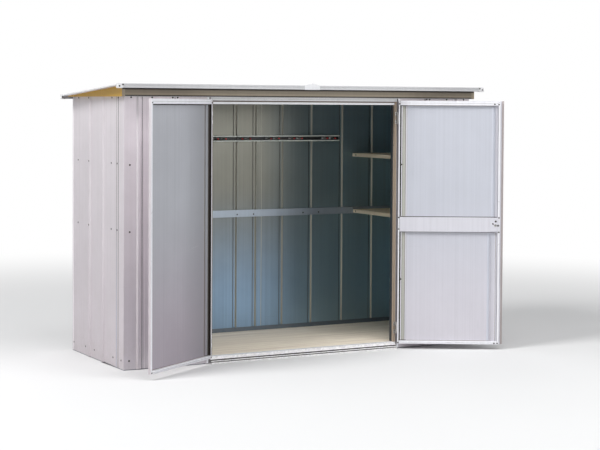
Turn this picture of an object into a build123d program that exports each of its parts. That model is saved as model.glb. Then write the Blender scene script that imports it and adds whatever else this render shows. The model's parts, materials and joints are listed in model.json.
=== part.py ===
from math import atan2, cos, hypot, sin, tan
import os

from build123d import *

os.makedirs("parts", exist_ok=True)

# Metal tool shed with a low roof that falls from front to rear and a pair of
# hinged doors.  Millimetres.  Origin: centre of the wall base, on the ground.
# +X to the right as seen from the front, -Y out of the doorway, +Z up.

# ---- walls ------------------------------------------------------------------
wall_width = 2470.0            # outer flat faces, left to right
wall_depth = 880.0             # outer flat faces, front to rear
wall_top = 1634.0              # top edge of every wall sheet
wall_foot = 4.0                # bottom edge of every wall sheet
sheet = 1.5                    # folded sheet thickness
rib_height = 9.0
rib_base = 32.0
rib_crown = 16.0
lap_width = 14.0               # how far one wall sheet covers the next
lap_slope = 3.0
lap_short = 1.0                # the covered sheet ends this far before the slope
butt_gap = 0.2                 # between rails that meet end to side
corner_front_run = 118.0       # front corner sheet, along the front wall
corner_front_rib = 96.0        # its rib, from the corner
corner_side_run = 115.0        # front corner sheet, along the side wall
corner_rear_run = 51.0         # rear corner sheet, both ways
rib_pitch = 225.0
front_panel_rib = 340.0        # rib of the front sheets, from the corner
back_ribs = (74.0, 280.0, 509.0, 756.0, 1000.0)   # rib centres either side of the middle
back_seam_left = -393.0        # seams between the back sheets
back_seam_right = 113.0

# ---- doorway ----------------------------------------------------------------
hinge_half = 668.0             # hinge line, from the middle
jamb_face = 16.0               # width of the jamb's front face
jamb_depth = 47.0
jamb_groove = 3.0              # depth of the groove down the jamb's side, and its slopes
jamb_groove_front = 10.0       # groove, from the jamb's front face
jamb_groove_rear = 25.0
jamb_return = 13.0
jamb_flange = 30.0             # part of the jamb behind the front sheet
header_face = 21.0             # height of the header's front face, below the wall top
header_recess = 7.0            # height of the dark groove under it
header_lip = 14.0              # height of the lower band
header_return = 14.0
header_step = 6.5
header_lip_out = 4.0
header_depth = 38.0

# ---- floor ------------------------------------------------------------------
rail_sheet = 2.0
rail_flange = 32.0
rail_ledge = 24.0              # top of the ledge the deck lies on
rail_height = 70.0
floor_top = 42.0
joist_width = 38.0
joist_count = 5
joist_gap = 4.0                # joists to the base rails' flanges
sill_top = 44.0
sill_back = 36.0               # depth of the sill behind the wall face
sill_nose = 26.0               # lowest ridge, in front of the wall face
sill_ridges = ((17.0, 14.0, 19.0), (9.0, 25.0, 30.0))  # reach, low and high edge
sill_valleys = ((12.0, 9.0, 12.0), (5.0, 20.0, 24.0))
sill_nose_top = 7.0
sill_lap = 6.0                 # of the sill's top over the deck
door_foot = 35.0               # bottom edge of both doors

# ---- eaves and roof ---------------------------------------------------------
skirt_out = 24.0               # fascia and gables stand out from the walls
skirt_flange = 36.0            # flange lying over the wall top, inward of the wall face
overhang_front = 69.0
overhang_rear = 35.0
overhang_side = 68.0
roof_rear_rise = 3.0           # roof sheet's underside above the wall top, rear edge
roof_fall = 65.0               # drop of the roof from front edge to rear edge
roof_rib_height = 6.0
roof_rib_base = 40.0
roof_rib_crown = 22.0
roof_rib_pitch = 235.0
roof_lap = 20.0
trim_drop = 17.0               # front trim below the roof sheet's underside
trim_lip = 9.0
trim_top_flange = 16.0
trim_crease = 1.2              # depth of the crease between the trim's two bands
trim_crease_low = 2.5          # its middle, below the sheet's underside
trim_crease_half = 1.5
trim_foot = 8.0                # lower flange
trim_joint = 0.5               # half the gap under the splice
edge_trim_flange = 11.0
cap_width = 34.0
cap_margin = 6.0               # cap reaches this far past the front trim's top flange
splice_width = 108.0
splice_rise = 12.0
splice_depth = 34.0
top_rail_drop = 30.0
top_rail_flange = 22.0

# ---- inside fittings --------------------------------------------------------
brace_low = 824.0
brace_height = 48.0
brace_depth = 12.0
shelf_reach = 384.0            # from the side wall
shelf_above_brace = 6.0        # lower shelf's bottom edge above the brace's
shelf_spacing = 397.0
shelf_edge = 24.0
tool_rail_drop = 256.0         # top of the tool rail below the wall top
tool_rail_height = 40.0
tool_rail_depth = 20.0
tool_rail_half = 732.0
tool_rail_lip = 8.0
hook_groups = (-590.0, -388.0, -202.0, -19.0, 200.0, 380.0, 641.0)
hook_gap = 60.0                # between the two prongs of a pair
hook_reach = 46.0
hook_radius = 3.0
hook_plate_width = 16.0
hook_plate_thick = 3.0
hook_plate_margin = 3.0        # between plate and the rail's flanges
hook_plate_round = 3.0
hook_cap_length = 14.0
hook_cap_over = 2.0            # of the cap past the prong's end
hook_cap_wall = 1.5

# ---- doors ------------------------------------------------------------------
door_lap = 8.0                 # closed doors cover this much of the header's face
door_gap = 5.0                 # closed door to jamb and header face
door_thick = 19.0
hinge_pin_in = 10.0            # pin centre behind the closed outer face
hinge_side_gap = 5.5           # door edge to hinge line
door_meeting = 3.0             # door edge to the middle line
door_skin = 1.2
door_lip = 13.0                # lip turned in at the free edge
hinge_lip = 10.0               # lip turned in at the hinge edge
door_swage_rise = 0.8
door_swage_base = 60.0
door_swage_crown = 40.0
door_swage_shares = (0.3, 0.7) # places of the swages across the door
top_rail_height = 29.0
bottom_rail_height = 18.0
mid_rail_height = 95.0
mid_rail_low = 768.0
stile_width = 40.0
stile_slot = 5.5               # slot between the hinge lip and the stile
stile_relief = 4.0             # stile stands this far off the skin
stile_band = 8.0               # raised band at each edge of the stile
stile_sink = 2.5               # its middle lies this much lower
stile_end_gap = 5.0            # between the stile's ends and the rails
edge_brace_upper = 24.0        # widths of the upper and lower edge brace
edge_brace_lower = 48.0
edge_brace_gap = 2.0            # from the door's inner lip
edge_brace_depth = 12.0
overlap_reach = 24.0           # strip on the right door, past its edge
overlap_foot = 15.0            # part of that strip on the door's face
overlap_step = 4.0             # width of its joggle
door_open_left = 147.0         # opening angles as the doors stand
door_open_right = 150.0
latch_above = 47.0             # latch centre above the middle rail's lower edge
latch_back = 36.0              # latch centre, from the door's free edge
latch_width = 61.0
latch_length = 83.0
latch_plate = 2.0
latch_round = 5.0
latch_cam = 2.5
cam_length = 22.0
cam_width = 12.0
cam_turn = 30.0
cam_aside = 6.0                # cam centre from the plate's centre
cam_above = 8.0
handle_length = 110.0
handle_reach = 30.0
handle_bar = 10.0
handle_width = 14.0
handle_round = 6.0
handle_post = 6.0              # radius of the posts
handle_inset = 8.0             # posts from the ends of the bar
hinge_from_foot = 103.0        # lower hinge's centre above the door's foot
hinge_from_top = 113.0         # upper hinge's centre below the door's top
hinge_length = 76.0
knuckle_radius = 3.8
pin_radius = 2.3
pin_clearance = 0.05
leaf_sheet = 1.2
leaf_width = 13.0              # jamb leaf, from the hinge line
leaf_margin = 1.0              # door leaf short of both faces of the door
leg_out = 3.6                  # jamb leaf's leg, outer face to the pin's axis
web_half = 1.5                 # web between the door leaf and its knuckle
knuckle_gap = 0.3

# ---- derived places ---------------------------------------------------------
half_w = wall_width / 2
half_d = wall_depth / 2
inner_w = half_w - sheet
inner_d = half_d - sheet
clear_half = hinge_half - jamb_face
lap_reach = lap_width - lap_short
header_face_low = wall_top - header_face
header_lip_top = header_face_low - header_recess
header_bottom = header_lip_top - header_lip
door_top = header_face_low + door_lap
shelf_lower_low = brace_low + shelf_above_brace
shelf_upper_low = shelf_lower_low + shelf_spacing
tool_rail_low = wall_top - tool_rail_drop - tool_rail_height
latch_height = mid_rail_low + latch_above
hinge_heights = (door_foot + hinge_from_foot, door_top - hinge_from_top)
door_inner_y = -(half_d + door_gap)
door_outer_y = door_inner_y - door_thick
pin_y = door_outer_y + hinge_pin_in
roof_run = wall_depth + overhang_front + overhang_rear
roof_angle = atan2(roof_fall, roof_run)
roof_length = hypot(roof_run, roof_fall)
roof_half = half_w + overhang_side
roof_front_z = wall_top + roof_rear_rise + roof_fall
roof_front_y = -(half_d + overhang_front)


def parallel(points, gap):
    """The run of points moved sideways by gap, to its left for a positive gap."""
    edges = []
    for (x0, y0), (x1, y1) in zip(points, points[1:]):
        length = hypot(x1 - x0, y1 - y0)
        edges.append(((x1 - x0) / length, (y1 - y0) / length))
    moved = []
    for i, (x, y) in enumerate(points):
        before = edges[max(i - 1, 0)]
        after = edges[min(i, len(edges) - 1)]
        turn = before[0] * after[1] - before[1] * after[0]
        along = before[0] * after[0] + before[1] * after[1]
        slip = gap * tan(atan2(turn, along) / 2)
        moved.append((x - gap * before[1] - slip * before[0],
                      y + gap * before[0] - slip * before[1]))
    return moved


def strip(points, gap):
    """Closed outline of a folded sheet whose outer face follows the points."""
    return [*points, *reversed(parallel(points, gap))]


def rib(centre, height=rib_height, base=rib_base, crown=rib_crown):
    return [(centre - base / 2, 0), (centre - crown / 2, height),
            (centre + crown / 2, height), (centre + base / 2, 0)]


def wall_run(start, end, ribs, cover_start=True, cover_end=True):
    """Outer face of a wall sheet: along the wall, out of the wall."""
    run = []
    if cover_start:
        run += [(start, sheet), (start + lap_width, sheet), (start + lap_width + lap_slope, 0)]
    else:
        run += [(start, 0)]
    for centre in ribs:
        run += rib(centre)
    if cover_end:
        run += [(end - lap_width - lap_slope, 0), (end - lap_width, sheet), (end, sheet)]
    else:
        run += [(end, 0)]
    return run


def on_front(points):
    return [(u, -half_d - v) for u, v in points]


def on_back(points):
    return [(u, half_d + v) for u, v in points]


def on_right(points):
    return [(half_w + v, u) for u, v in points]


def upright(outline, low, high):
    """Part standing from low to high on an outline drawn on the ground."""
    with BuildPart() as piece:
        with BuildSketch(Plane.XY.offset(low)):
            with BuildLine():
                Polyline(*outline, close=True)
            make_face()
        extrude(amount=high - low)
    return piece.part


def lengthwise(outline, start, end):
    """Part running along X from start to end on an outline drawn in Y and Z."""
    with BuildPart() as piece:
        with BuildSketch(Plane.YZ.offset(start)):
            with BuildLine():
                Polyline(*outline, close=True)
            make_face()
        extrude(amount=end - start)
    return piece.part


def crosswise(outline, start, end):
    """Part running along Y from start to end on an outline drawn in X and Z."""
    with BuildPart() as piece:
        with BuildSketch(Plane((0, start, 0), x_dir=(-1, 0, 0), z_dir=(0, 1, 0))):
            with BuildLine():
                Polyline(*[(-x, z) for x, z in outline], close=True)
            make_face()
        extrude(amount=end - start)
    return piece.part


def keep(part, name):
    part.label = name
    export_step(part, f"parts/{name}.step")


def both_sides(part):
    with BuildPart() as pair:
        add(part)
        mirror(about=Plane.YZ)
    return pair.part


def mirrored(part):
    return mirror(part, about=Plane.YZ)


# ---- wall sheets ------------------------------------------------------------
def front_corner():
    front_end = half_w - corner_front_run - lap_reach
    side_end = -half_d + corner_side_run + lap_reach
    run = on_front([(front_end, 0), *rib(half_w - corner_front_rib)])
    run += [(half_w, -half_d), (half_w, side_end)]
    return upright(strip(run, sheet), wall_foot, wall_top)


def rear_corner():
    side_end = half_d - corner_rear_run - lap_reach
    back_end = half_w - corner_rear_run - lap_reach
    run = [(half_w, side_end), (half_w, half_d), (back_end, half_d)]
    return upright(strip(run, sheet), wall_foot, wall_top)


corner_front_right = front_corner()
corner_rear_right = rear_corner()
keep(corner_front_right, "corner_front_right")
keep(mirrored(corner_front_right), "corner_front_left")
keep(both_sides(corner_rear_right), "corner_rear_pair")

side_start = -half_d + corner_side_run
side_ribs = [side_start + rib_pitch, side_start + 2 * rib_pitch]
side_right = upright(strip(on_right(wall_run(side_start, half_d - corner_rear_run, side_ribs)), sheet),
                     wall_foot, wall_top)
keep(side_right, "side_panel_right")
keep(mirrored(side_right), "side_panel_left")

front_start = hinge_half
front_right = upright(
    strip(on_front(wall_run(front_start, half_w - corner_front_run,
                            [half_w - front_panel_rib], cover_start=False)), sheet),
    wall_foot, wall_top)
keep(front_right, "front_panel_right")
keep(mirrored(front_right), "front_panel_left")

back_centres = sorted([-c for c in back_ribs] + list(back_ribs))
back_edge = half_w - corner_rear_run


def back_sheet(start, end, cover_start, cover_end):
    inside = [c for c in back_centres
              if start + rib_base / 2 + lap_width < c < end - rib_base / 2 - lap_width / 2]
    run = on_back(wall_run(start, end, inside, cover_start, cover_end))
    return upright(strip(run, -sheet), wall_foot, wall_top)


keep(back_sheet(-back_edge, back_seam_left, True, True), "back_panel_left")
keep(back_sheet(back_seam_left - lap_reach, back_seam_right + lap_reach, False, False),
     "back_panel_middle")
keep(back_sheet(back_seam_right, back_edge, True, True), "back_panel_right")

# ---- floor frame ------------------------------------------------------------
rail_outline = [(0, 0), (rail_flange, 0), (rail_flange, rail_sheet), (rail_sheet, rail_sheet),
                (rail_sheet, rail_ledge - rail_sheet), (rail_flange, rail_ledge - rail_sheet),
                (rail_flange, rail_ledge), (rail_sheet, rail_ledge), (rail_sheet, rail_height),
                (0, rail_height)]
rail_end = inner_w
rail_rear = lengthwise([(inner_d - u, z) for u, z in rail_outline], -rail_end, rail_end)
side_rail_half = inner_d - rail_flange - butt_gap
rail_side = crosswise([(inner_w - u, z) for u, z in rail_outline], -side_rail_half, side_rail_half)
rail_front = lengthwise([(-inner_d + u, z) for u, z in rail_outline],
                        hinge_half + jamb_flange, rail_end)
keep(Compound(children=[rail_rear, rail_side, mirrored(rail_side), rail_front, mirrored(rail_front)]),
     "base_rails")

# threshold: a folded face stepping forward under the doors in three ridges
sill_run = [(-half_d + sill_back, sill_top), (-half_d, sill_top)]
sill_run += [(-half_d, sill_ridges[1][2])]
for ridge, valley in zip(reversed(sill_ridges), reversed(sill_valleys)):
    sill_run += [(-half_d - ridge[0], ridge[2]), (-half_d - ridge[0], ridge[1]),
                 (-half_d - valley[0], valley[2]), (-half_d - valley[0], valley[1])]
sill_run += [(-half_d - sill_nose, sill_nose_top), (-half_d - sill_nose, 0),
             (-half_d + sill_back - sill_lap, 0)]
keep(lengthwise(strip(sill_run, rail_sheet), -hinge_half, hinge_half), "door_sill")

deck_half_w = inner_w - rail_sheet
with BuildPart() as deck:
    with BuildSketch(Plane.XY.offset(rail_ledge)):
        Rectangle(2 * deck_half_w, 2 * (inner_d - rail_sheet))
        with Locations((0, -half_d)):
            Rectangle(2 * (hinge_half + jamb_flange), 2 * (sill_back - sill_lap), mode=Mode.SUBTRACT)
    extrude(amount=floor_top - rail_ledge)
keep(deck.part, "floor_deck")

joist_half = inner_d - rail_flange - joist_gap
joist_pitch = 2 * (inner_w - rail_flange - joist_gap - joist_width / 2) / (joist_count - 1)
with BuildPart() as joists:
    with BuildSketch():
        with GridLocations(joist_pitch, 1, joist_count, 1):
            Rectangle(joist_width, 2 * joist_half)
    extrude(amount=rail_ledge)
keep(joists.part, "floor_joists")

# ---- doorway ----------------------------------------------------------------
jamb_y = -inner_d
jamb_run = [(hinge_half + jamb_flange, jamb_y), (clear_half, jamb_y),
            (clear_half, jamb_y + jamb_groove_front),
            (clear_half + jamb_groove, jamb_y + jamb_groove_front + jamb_groove),
            (clear_half + jamb_groove, jamb_y + jamb_groove_rear - jamb_groove),
            (clear_half, jamb_y + jamb_groove_rear),
            (clear_half, jamb_y + jamb_depth), (clear_half + jamb_return, jamb_y + jamb_depth)]
jamb_right = upright(strip(jamb_run, -sheet), sill_top, header_face_low)
keep(jamb_right, "door_jamb_right")
keep(mirrored(jamb_right), "door_jamb_left")

header_y = -inner_d
header_run = [(header_y + header_depth, wall_top), (header_y, wall_top), (header_y, header_face_low),
              (header_y + header_step, header_face_low), (header_y + header_step, header_lip_top),
              (header_y + header_step - header_lip_out, header_lip_top),
              (header_y + header_step - header_lip_out, header_bottom),
              (header_y + header_step + header_return, header_bottom)]
header = lengthwise(strip(header_run, sheet), -(hinge_half + jamb_flange), hinge_half + jamb_flange)
with BuildPart() as header_cut:
    add(header)
    with BuildSketch(Plane.XY.offset(header_bottom)):
        with Locations((hinge_half + jamb_flange, header_y), (-hinge_half - jamb_flange, header_y)):
            Rectangle(2 * (jamb_flange + jamb_face), 2 * jamb_depth)
    extrude(amount=header_face_low - header_bottom, mode=Mode.SUBTRACT)
keep(header_cut.part, "door_header")

# ---- wall top rails and brace -----------------------------------------------
top_outline = [(0, wall_top - top_rail_drop), (0, wall_top), (top_rail_flange, wall_top),
               (top_rail_flange, wall_top - sheet), (sheet, wall_top - sheet),
               (sheet, wall_top - top_rail_drop)]
rear_top = lengthwise([(inner_d - u, z) for u, z in top_outline], -inner_w, inner_w)
side_top = crosswise([(inner_w - u, z) for u, z in top_outline],
                     -(inner_d - top_rail_flange - butt_gap), inner_d - top_rail_flange - butt_gap)
front_top = lengthwise([(-inner_d + u, z) for u, z in top_outline],
                       hinge_half + jamb_flange, inner_w)
keep(Compound(children=[rear_top, side_top, mirrored(side_top), front_top, mirrored(front_top)]),
     "wall_top_rails")

brace_outline = strip([(inner_d, brace_low), (inner_d - brace_depth, brace_low),
                       (inner_d - brace_depth, brace_low + brace_height),
                       (inner_d, brace_low + brace_height)], -sheet)
keep(lengthwise(brace_outline, -inner_w, inner_w), "mid_brace_rear")

# ---- shelves ----------------------------------------------------------------
def shelf(low, rear_y):
    front_y = -inner_d
    with BuildPart() as tray:
        with BuildSketch(Plane.XY.offset(low)):
            with Locations((inner_w - shelf_reach / 2, (front_y + rear_y) / 2)):
                Rectangle(shelf_reach, rear_y - front_y)
        extrude(amount=shelf_edge)
        offset(amount=-sheet, openings=tray.faces().sort_by(Axis.Z)[0])
    return tray.part


shelf_high = shelf(shelf_upper_low, inner_d)
shelf_low = shelf(shelf_lower_low, inner_d - brace_depth)
keep(Compound(children=[shelf_high, shelf_low]), "shelves_right")
keep(Compound(children=[mirrored(shelf_high), mirrored(shelf_low)]), "shelves_left")

# ---- tool rail --------------------------------------------------------------
rail_y = inner_d
tool_run = [(rail_y - tool_rail_depth, tool_rail_low + tool_rail_lip),
            (rail_y - tool_rail_depth, tool_rail_low), (rail_y, tool_rail_low),
            (rail_y, tool_rail_low + tool_rail_height),
            (rail_y - tool_rail_depth, tool_rail_low + tool_rail_height),
            (rail_y - tool_rail_depth, tool_rail_low + tool_rail_height - tool_rail_lip)]
keep(lengthwise(strip(tool_run, sheet), -tool_rail_half, tool_rail_half), "tool_rail")

hook_z = tool_rail_low + tool_rail_height / 2
hook_y = rail_y - sheet
hook_places = [c + s * hook_gap / 2 for c in hook_groups for s in (-1, 1)]
hook_out = tool_rail_depth + hook_reach
with BuildPart() as hooks:
    with BuildSketch(Plane.XZ.offset(-hook_y)):
        with Locations(*[(x, hook_z) for x in hook_places]):
            RectangleRounded(hook_plate_width, tool_rail_height - 2 * (sheet + hook_plate_margin),
                             hook_plate_round)
    extrude(amount=hook_plate_thick)
    with BuildSketch(Plane.XZ.offset(-hook_y)):
        with Locations(*[(x, hook_z) for x in hook_places]):
            RegularPolygon(hook_radius, 8)
    extrude(amount=hook_out)
keep(hooks.part, "tool_hooks")
with BuildPart() as hook_caps:
    with BuildSketch(Plane.XZ.offset(-(hook_y - hook_out + hook_cap_length - hook_cap_over))):
        with Locations(*[(x, hook_z) for x in hook_places]):
            RegularPolygon(hook_radius + hook_cap_wall, 8)
    extrude(amount=hook_cap_length)
    with BuildSketch(Plane.XZ.offset(-hook_y)):
        with Locations(*[(x, hook_z) for x in hook_places]):
            RegularPolygon(hook_radius, 8)
    extrude(amount=hook_out, mode=Mode.SUBTRACT)
keep(hook_caps.part, "tool_hook_caps")

# ---- fascia and gables ------------------------------------------------------
def roof_under(y):
    return roof_front_z - (y - roof_front_y) * tan(roof_angle)


skirt_y = half_d + skirt_out
skirt_x = half_w + skirt_out
flange_in = half_d - skirt_flange
front_face_top = roof_under(-skirt_y)
front_back_top = roof_under(-skirt_y + sheet)
fascia_outline = [(-flange_in, wall_top), (-skirt_y, wall_top), (-skirt_y, front_face_top),
                  (-skirt_y + sheet, front_back_top), (-skirt_y + sheet, wall_top + sheet),
                  (-flange_in, wall_top + sheet)]
fascia_half = skirt_x - sheet
fascia_front = lengthwise(fascia_outline, -fascia_half, fascia_half)
rear_outline = [(flange_in, wall_top), (skirt_y, wall_top), (skirt_y, roof_under(skirt_y)),
                (skirt_y - sheet, roof_under(skirt_y - sheet)), (skirt_y - sheet, wall_top + sheet),
                (flange_in, wall_top + sheet)]
fascia_rear = lengthwise(rear_outline, -fascia_half, fascia_half)
keep(Compound(children=[fascia_front, fascia_rear]), "fascias")

gable_flange_half = flange_in
with BuildPart() as gable:
    with BuildSketch(Plane.YZ.offset(skirt_x - sheet)):
        with BuildLine():
            Polyline((-skirt_y, wall_top), (skirt_y, wall_top), (skirt_y, roof_under(skirt_y)),
                     (-skirt_y, roof_under(-skirt_y)), close=True)
        make_face()
    extrude(amount=sheet)
    with BuildSketch(Plane.XY.offset(wall_top)):
        with Locations((skirt_x - (skirt_out + skirt_flange) / 2, 0)):
            Rectangle(skirt_out + skirt_flange, 2 * gable_flange_half)
    extrude(amount=sheet)
keep(gable.part, "gable_right")
keep(mirrored(gable.part), "gable_left")

# ---- roof -------------------------------------------------------------------
slope_dir = (0, cos(roof_angle), -sin(roof_angle))
roof_origin = (0, roof_front_y, roof_front_z)
across = Plane(roof_origin, x_dir=(1, 0, 0), z_dir=(0, -cos(roof_angle), sin(roof_angle)))
along = Plane(roof_origin, x_dir=slope_dir, z_dir=(1, 0, 0))


def roof_strip(outline, start, end):
    """Part on an outline across the roof, from start to end down the slope."""
    with BuildPart() as piece:
        with BuildSketch(across.offset(-start)):
            with BuildLine():
                Polyline(*outline, close=True)
            make_face()
        extrude(amount=-(end - start))
    return piece.part


def roof_bar(outline, start, end):
    """Part on an outline of slope distance and height, from start to end in X."""
    with BuildPart() as piece:
        with BuildSketch(along.offset(start)):
            with BuildLine():
                Polyline(*outline, close=True)
            make_face()
        extrude(amount=end - start)
    return piece.part


def roof_rib(centre):
    return rib(centre, roof_rib_height, roof_rib_base, roof_rib_crown)


roof_edge = roof_half - sheet
roof_rib_count = 5
right_ribs = [roof_lap / 2 + roof_rib_pitch * (i + 0.5) for i in range(roof_rib_count)]
left_run = [(-roof_edge, sheet)]
for centre in reversed(right_ribs):
    left_run += [(x, v + sheet) for x, v in roof_rib(-centre)]
left_run += [(roof_lap / 2, sheet)]
right_run = [(-roof_lap / 2, 2 * sheet), (roof_lap / 2 + lap_short, 2 * sheet),
             (roof_lap / 2 + lap_short + lap_slope, sheet)]
for centre in right_ribs:
    right_run += [(x, v + sheet) for x, v in roof_rib(centre)]
right_run += [(roof_edge, sheet)]
keep(roof_strip(strip(left_run, -sheet), 0, roof_length), "roof_panel_left")
keep(roof_strip(strip(right_run, -sheet), 0, roof_length), "roof_panel_right")

trim_run = [(trim_top_flange, trim_lip), (-sheet, trim_lip),
            (-sheet, trim_crease_half - trim_crease_low), (trim_crease - sheet, -trim_crease_low),
            (-sheet, -trim_crease_half - trim_crease_low),
            (-sheet, -trim_drop), (trim_foot, -trim_drop)]
trim_outline = strip(trim_run, sheet)
trim_end = roof_half
trim_right = roof_bar(trim_outline, trim_joint, trim_end)
keep(both_sides(trim_right), "roof_trim_front")
rear_trim_outline = [(roof_length - s, n) for s, n in trim_outline]
trim_rear = roof_bar(rear_trim_outline, -trim_end, trim_end)

edge_run = [(roof_half - edge_trim_flange, roof_rib_height + sheet), (roof_half, roof_rib_height + sheet),
            (roof_half, -sheet), (roof_half - edge_trim_flange, -sheet)]
cap_depth = trim_top_flange + cap_margin
edge_trim = roof_strip(strip(edge_run, -sheet), cap_depth, roof_length - cap_depth)
keep(Compound(children=[trim_rear, edge_trim, mirrored(edge_trim)]), "roof_trim_edges")

with BuildPart() as corner_cap:
    with BuildSketch(along.offset(roof_half - cap_width)):
        with BuildLine():
            Polyline((-2 * sheet, -trim_drop - sheet), (cap_depth, -trim_drop - sheet),
                     (cap_depth, trim_lip + sheet), (-2 * sheet, trim_lip + sheet), close=True)
        make_face()
    extrude(amount=cap_width + sheet)
    with BuildSketch(along.offset(roof_half - cap_width)):
        with BuildLine():
            Polyline((-sheet, -trim_drop), (cap_depth, -trim_drop),
                     (cap_depth, trim_lip), (-sheet, trim_lip), close=True)
        make_face()
    extrude(amount=cap_width, mode=Mode.SUBTRACT)
half_length = roof_length / 2
middle = Plane((0, roof_front_y + half_length * cos(roof_angle),
                roof_front_z - half_length * sin(roof_angle)),
               x_dir=(1, 0, 0), z_dir=slope_dir)
with BuildPart() as corner_caps:
    add(corner_cap.part)
    mirror(about=Plane.YZ)
    mirror(about=middle)
keep(corner_caps.part, "roof_corner_caps")

splice_half = splice_width / 2
splice_low = -trim_drop - sheet
splice_high = trim_lip + sheet
with BuildPart() as splice:
    with BuildSketch(across.offset(sheet)):
        with BuildLine():
            Polyline((-splice_half, splice_low), (splice_half, splice_low), (splice_half, splice_high),
                     (0, splice_high + splice_rise), (-splice_half, splice_high), close=True)
        make_face()
    extrude(amount=sheet)
    with BuildSketch(across.offset(sheet)):
        with BuildLine():
            Polyline((-splice_half, splice_high - sheet), (-splice_half, splice_high),
                     (0, splice_high + splice_rise), (splice_half, splice_high),
                     (splice_half, splice_high - sheet), (0, splice_high + splice_rise - sheet),
                     close=True)
        make_face()
    extrude(amount=-splice_depth)
keep(splice.part, "roof_trim_splice")

# ---- doors, drawn closed and then swung open --------------------------------
door_edge_hinge = hinge_half - hinge_side_gap
door_edge_free = door_meeting
door_width = door_edge_hinge - door_edge_free
door_middle = (door_edge_hinge + door_edge_free) / 2


def swing_right(part):
    pivot = Pos(hinge_half, pin_y, 0)
    return pivot * Rot(0, 0, door_open_right) * pivot.inverse() * part


def swing_left(part):
    pivot = Pos(-hinge_half, pin_y, 0)
    return pivot * Rot(0, 0, -door_open_left) * pivot.inverse() * part


skin_run = [(door_edge_free, 0)]
for share in door_swage_shares:
    skin_run += rib(door_edge_free + share * door_width, door_swage_rise,
                    door_swage_base, door_swage_crown)
skin_run += [(door_edge_hinge, 0)]
skin_y = door_outer_y
pan_run = [(door_edge_free + door_lip, door_inner_y), (door_edge_free, door_inner_y)]
pan_run += [(x, skin_y - v) for x, v in skin_run]
pan_run += [(door_edge_hinge, door_inner_y), (door_edge_hinge - hinge_lip, door_inner_y)]
with BuildPart() as pan:
    with BuildSketch(Plane.XY.offset(door_foot)):
        with BuildLine():
            Polyline(*strip(pan_run, door_skin), close=True)
        make_face()
    extrude(amount=door_top - door_foot)
    with BuildSketch(Plane.XY.offset(door_foot)):
        with Locations((door_middle, (skin_y + door_inner_y) / 2)):
            Rectangle(door_width - 2 * door_skin, door_inner_y - skin_y)
    extrude(amount=door_skin)
    with BuildSketch(Plane.XY.offset(door_top - door_skin)):
        with Locations((door_middle, (skin_y + door_inner_y) / 2)):
            Rectangle(door_width - 2 * door_skin, door_inner_y - skin_y)
    extrude(amount=door_skin)
keep(swing_right(pan.part), "door_right_panel")
keep(swing_left(mirrored(pan.part)), "door_left_panel")

rail_back = skin_y + door_skin
rail_face = door_inner_y - door_skin
rail_left = door_edge_free + door_skin
rail_right = door_edge_hinge - door_skin
stile_right = door_edge_hinge - hinge_lip - stile_slot


def door_rail(low, height):
    """Channel across the door, its flanges against the skin, its face under the lips."""
    run = [(rail_back, low), (rail_face, low), (rail_face, low + height), (rail_back, low + height)]
    return lengthwise(strip(run, sheet), rail_left, rail_right)


rails = Compound(children=[
    door_rail(door_top - door_skin - top_rail_height, top_rail_height),
    door_rail(door_foot + door_skin, bottom_rail_height)])
mid_rail = door_rail(mid_rail_low, mid_rail_height)
keep(swing_right(rails), "door_right_end_rails")
keep(swing_left(mirrored(rails)), "door_left_end_rails")
keep(swing_right(mid_rail), "door_right_mid_rail")


def stile(low, high):
    """Low hat section on the skin beside the hinge lip, sunk between its edge bands."""
    left = stile_right - stile_width
    crest = rail_back + stile_relief
    run = [(left, rail_back), (left, crest), (left + stile_band, crest),
           (left + stile_band + stile_sink, crest - stile_sink),
           (stile_right - stile_band - stile_sink, crest - stile_sink),
           (stile_right - stile_band, crest), (stile_right, crest), (stile_right, rail_back)]
    return upright(strip(run, -door_skin), low + stile_end_gap, high - stile_end_gap)


def edge_brace(width, low, high):
    left = door_edge_free + door_lip + edge_brace_gap
    run = [(left, rail_back + edge_brace_depth), (left, rail_back),
           (left + width, rail_back), (left + width, rail_back + edge_brace_depth)]
    return upright(strip(run, sheet), low, high)


upper_span = (mid_rail_low + mid_rail_height, door_top - door_skin - top_rail_height)
lower_span = (door_foot + door_skin + bottom_rail_height, mid_rail_low)
full_span = (lower_span[0], upper_span[1])
overlap_run = [(door_edge_free + overlap_foot, skin_y - door_skin),
               (door_edge_free + overlap_step, skin_y - door_skin),
               (door_edge_free, skin_y - door_gap - door_skin),
               (door_edge_free - overlap_reach, skin_y - door_gap - door_skin)]
overlap_strip = upright(strip(overlap_run, -door_skin), door_foot, door_top)
keep(swing_right(Compound(children=[stile(*upper_span), stile(*lower_span),
                                    edge_brace(edge_brace_upper, *upper_span),
                                    edge_brace(edge_brace_lower, *lower_span),
                                    overlap_strip])),
     "door_right_stiles")
keep(swing_left(mirrored(stile(*full_span))), "door_left_stile")

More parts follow.
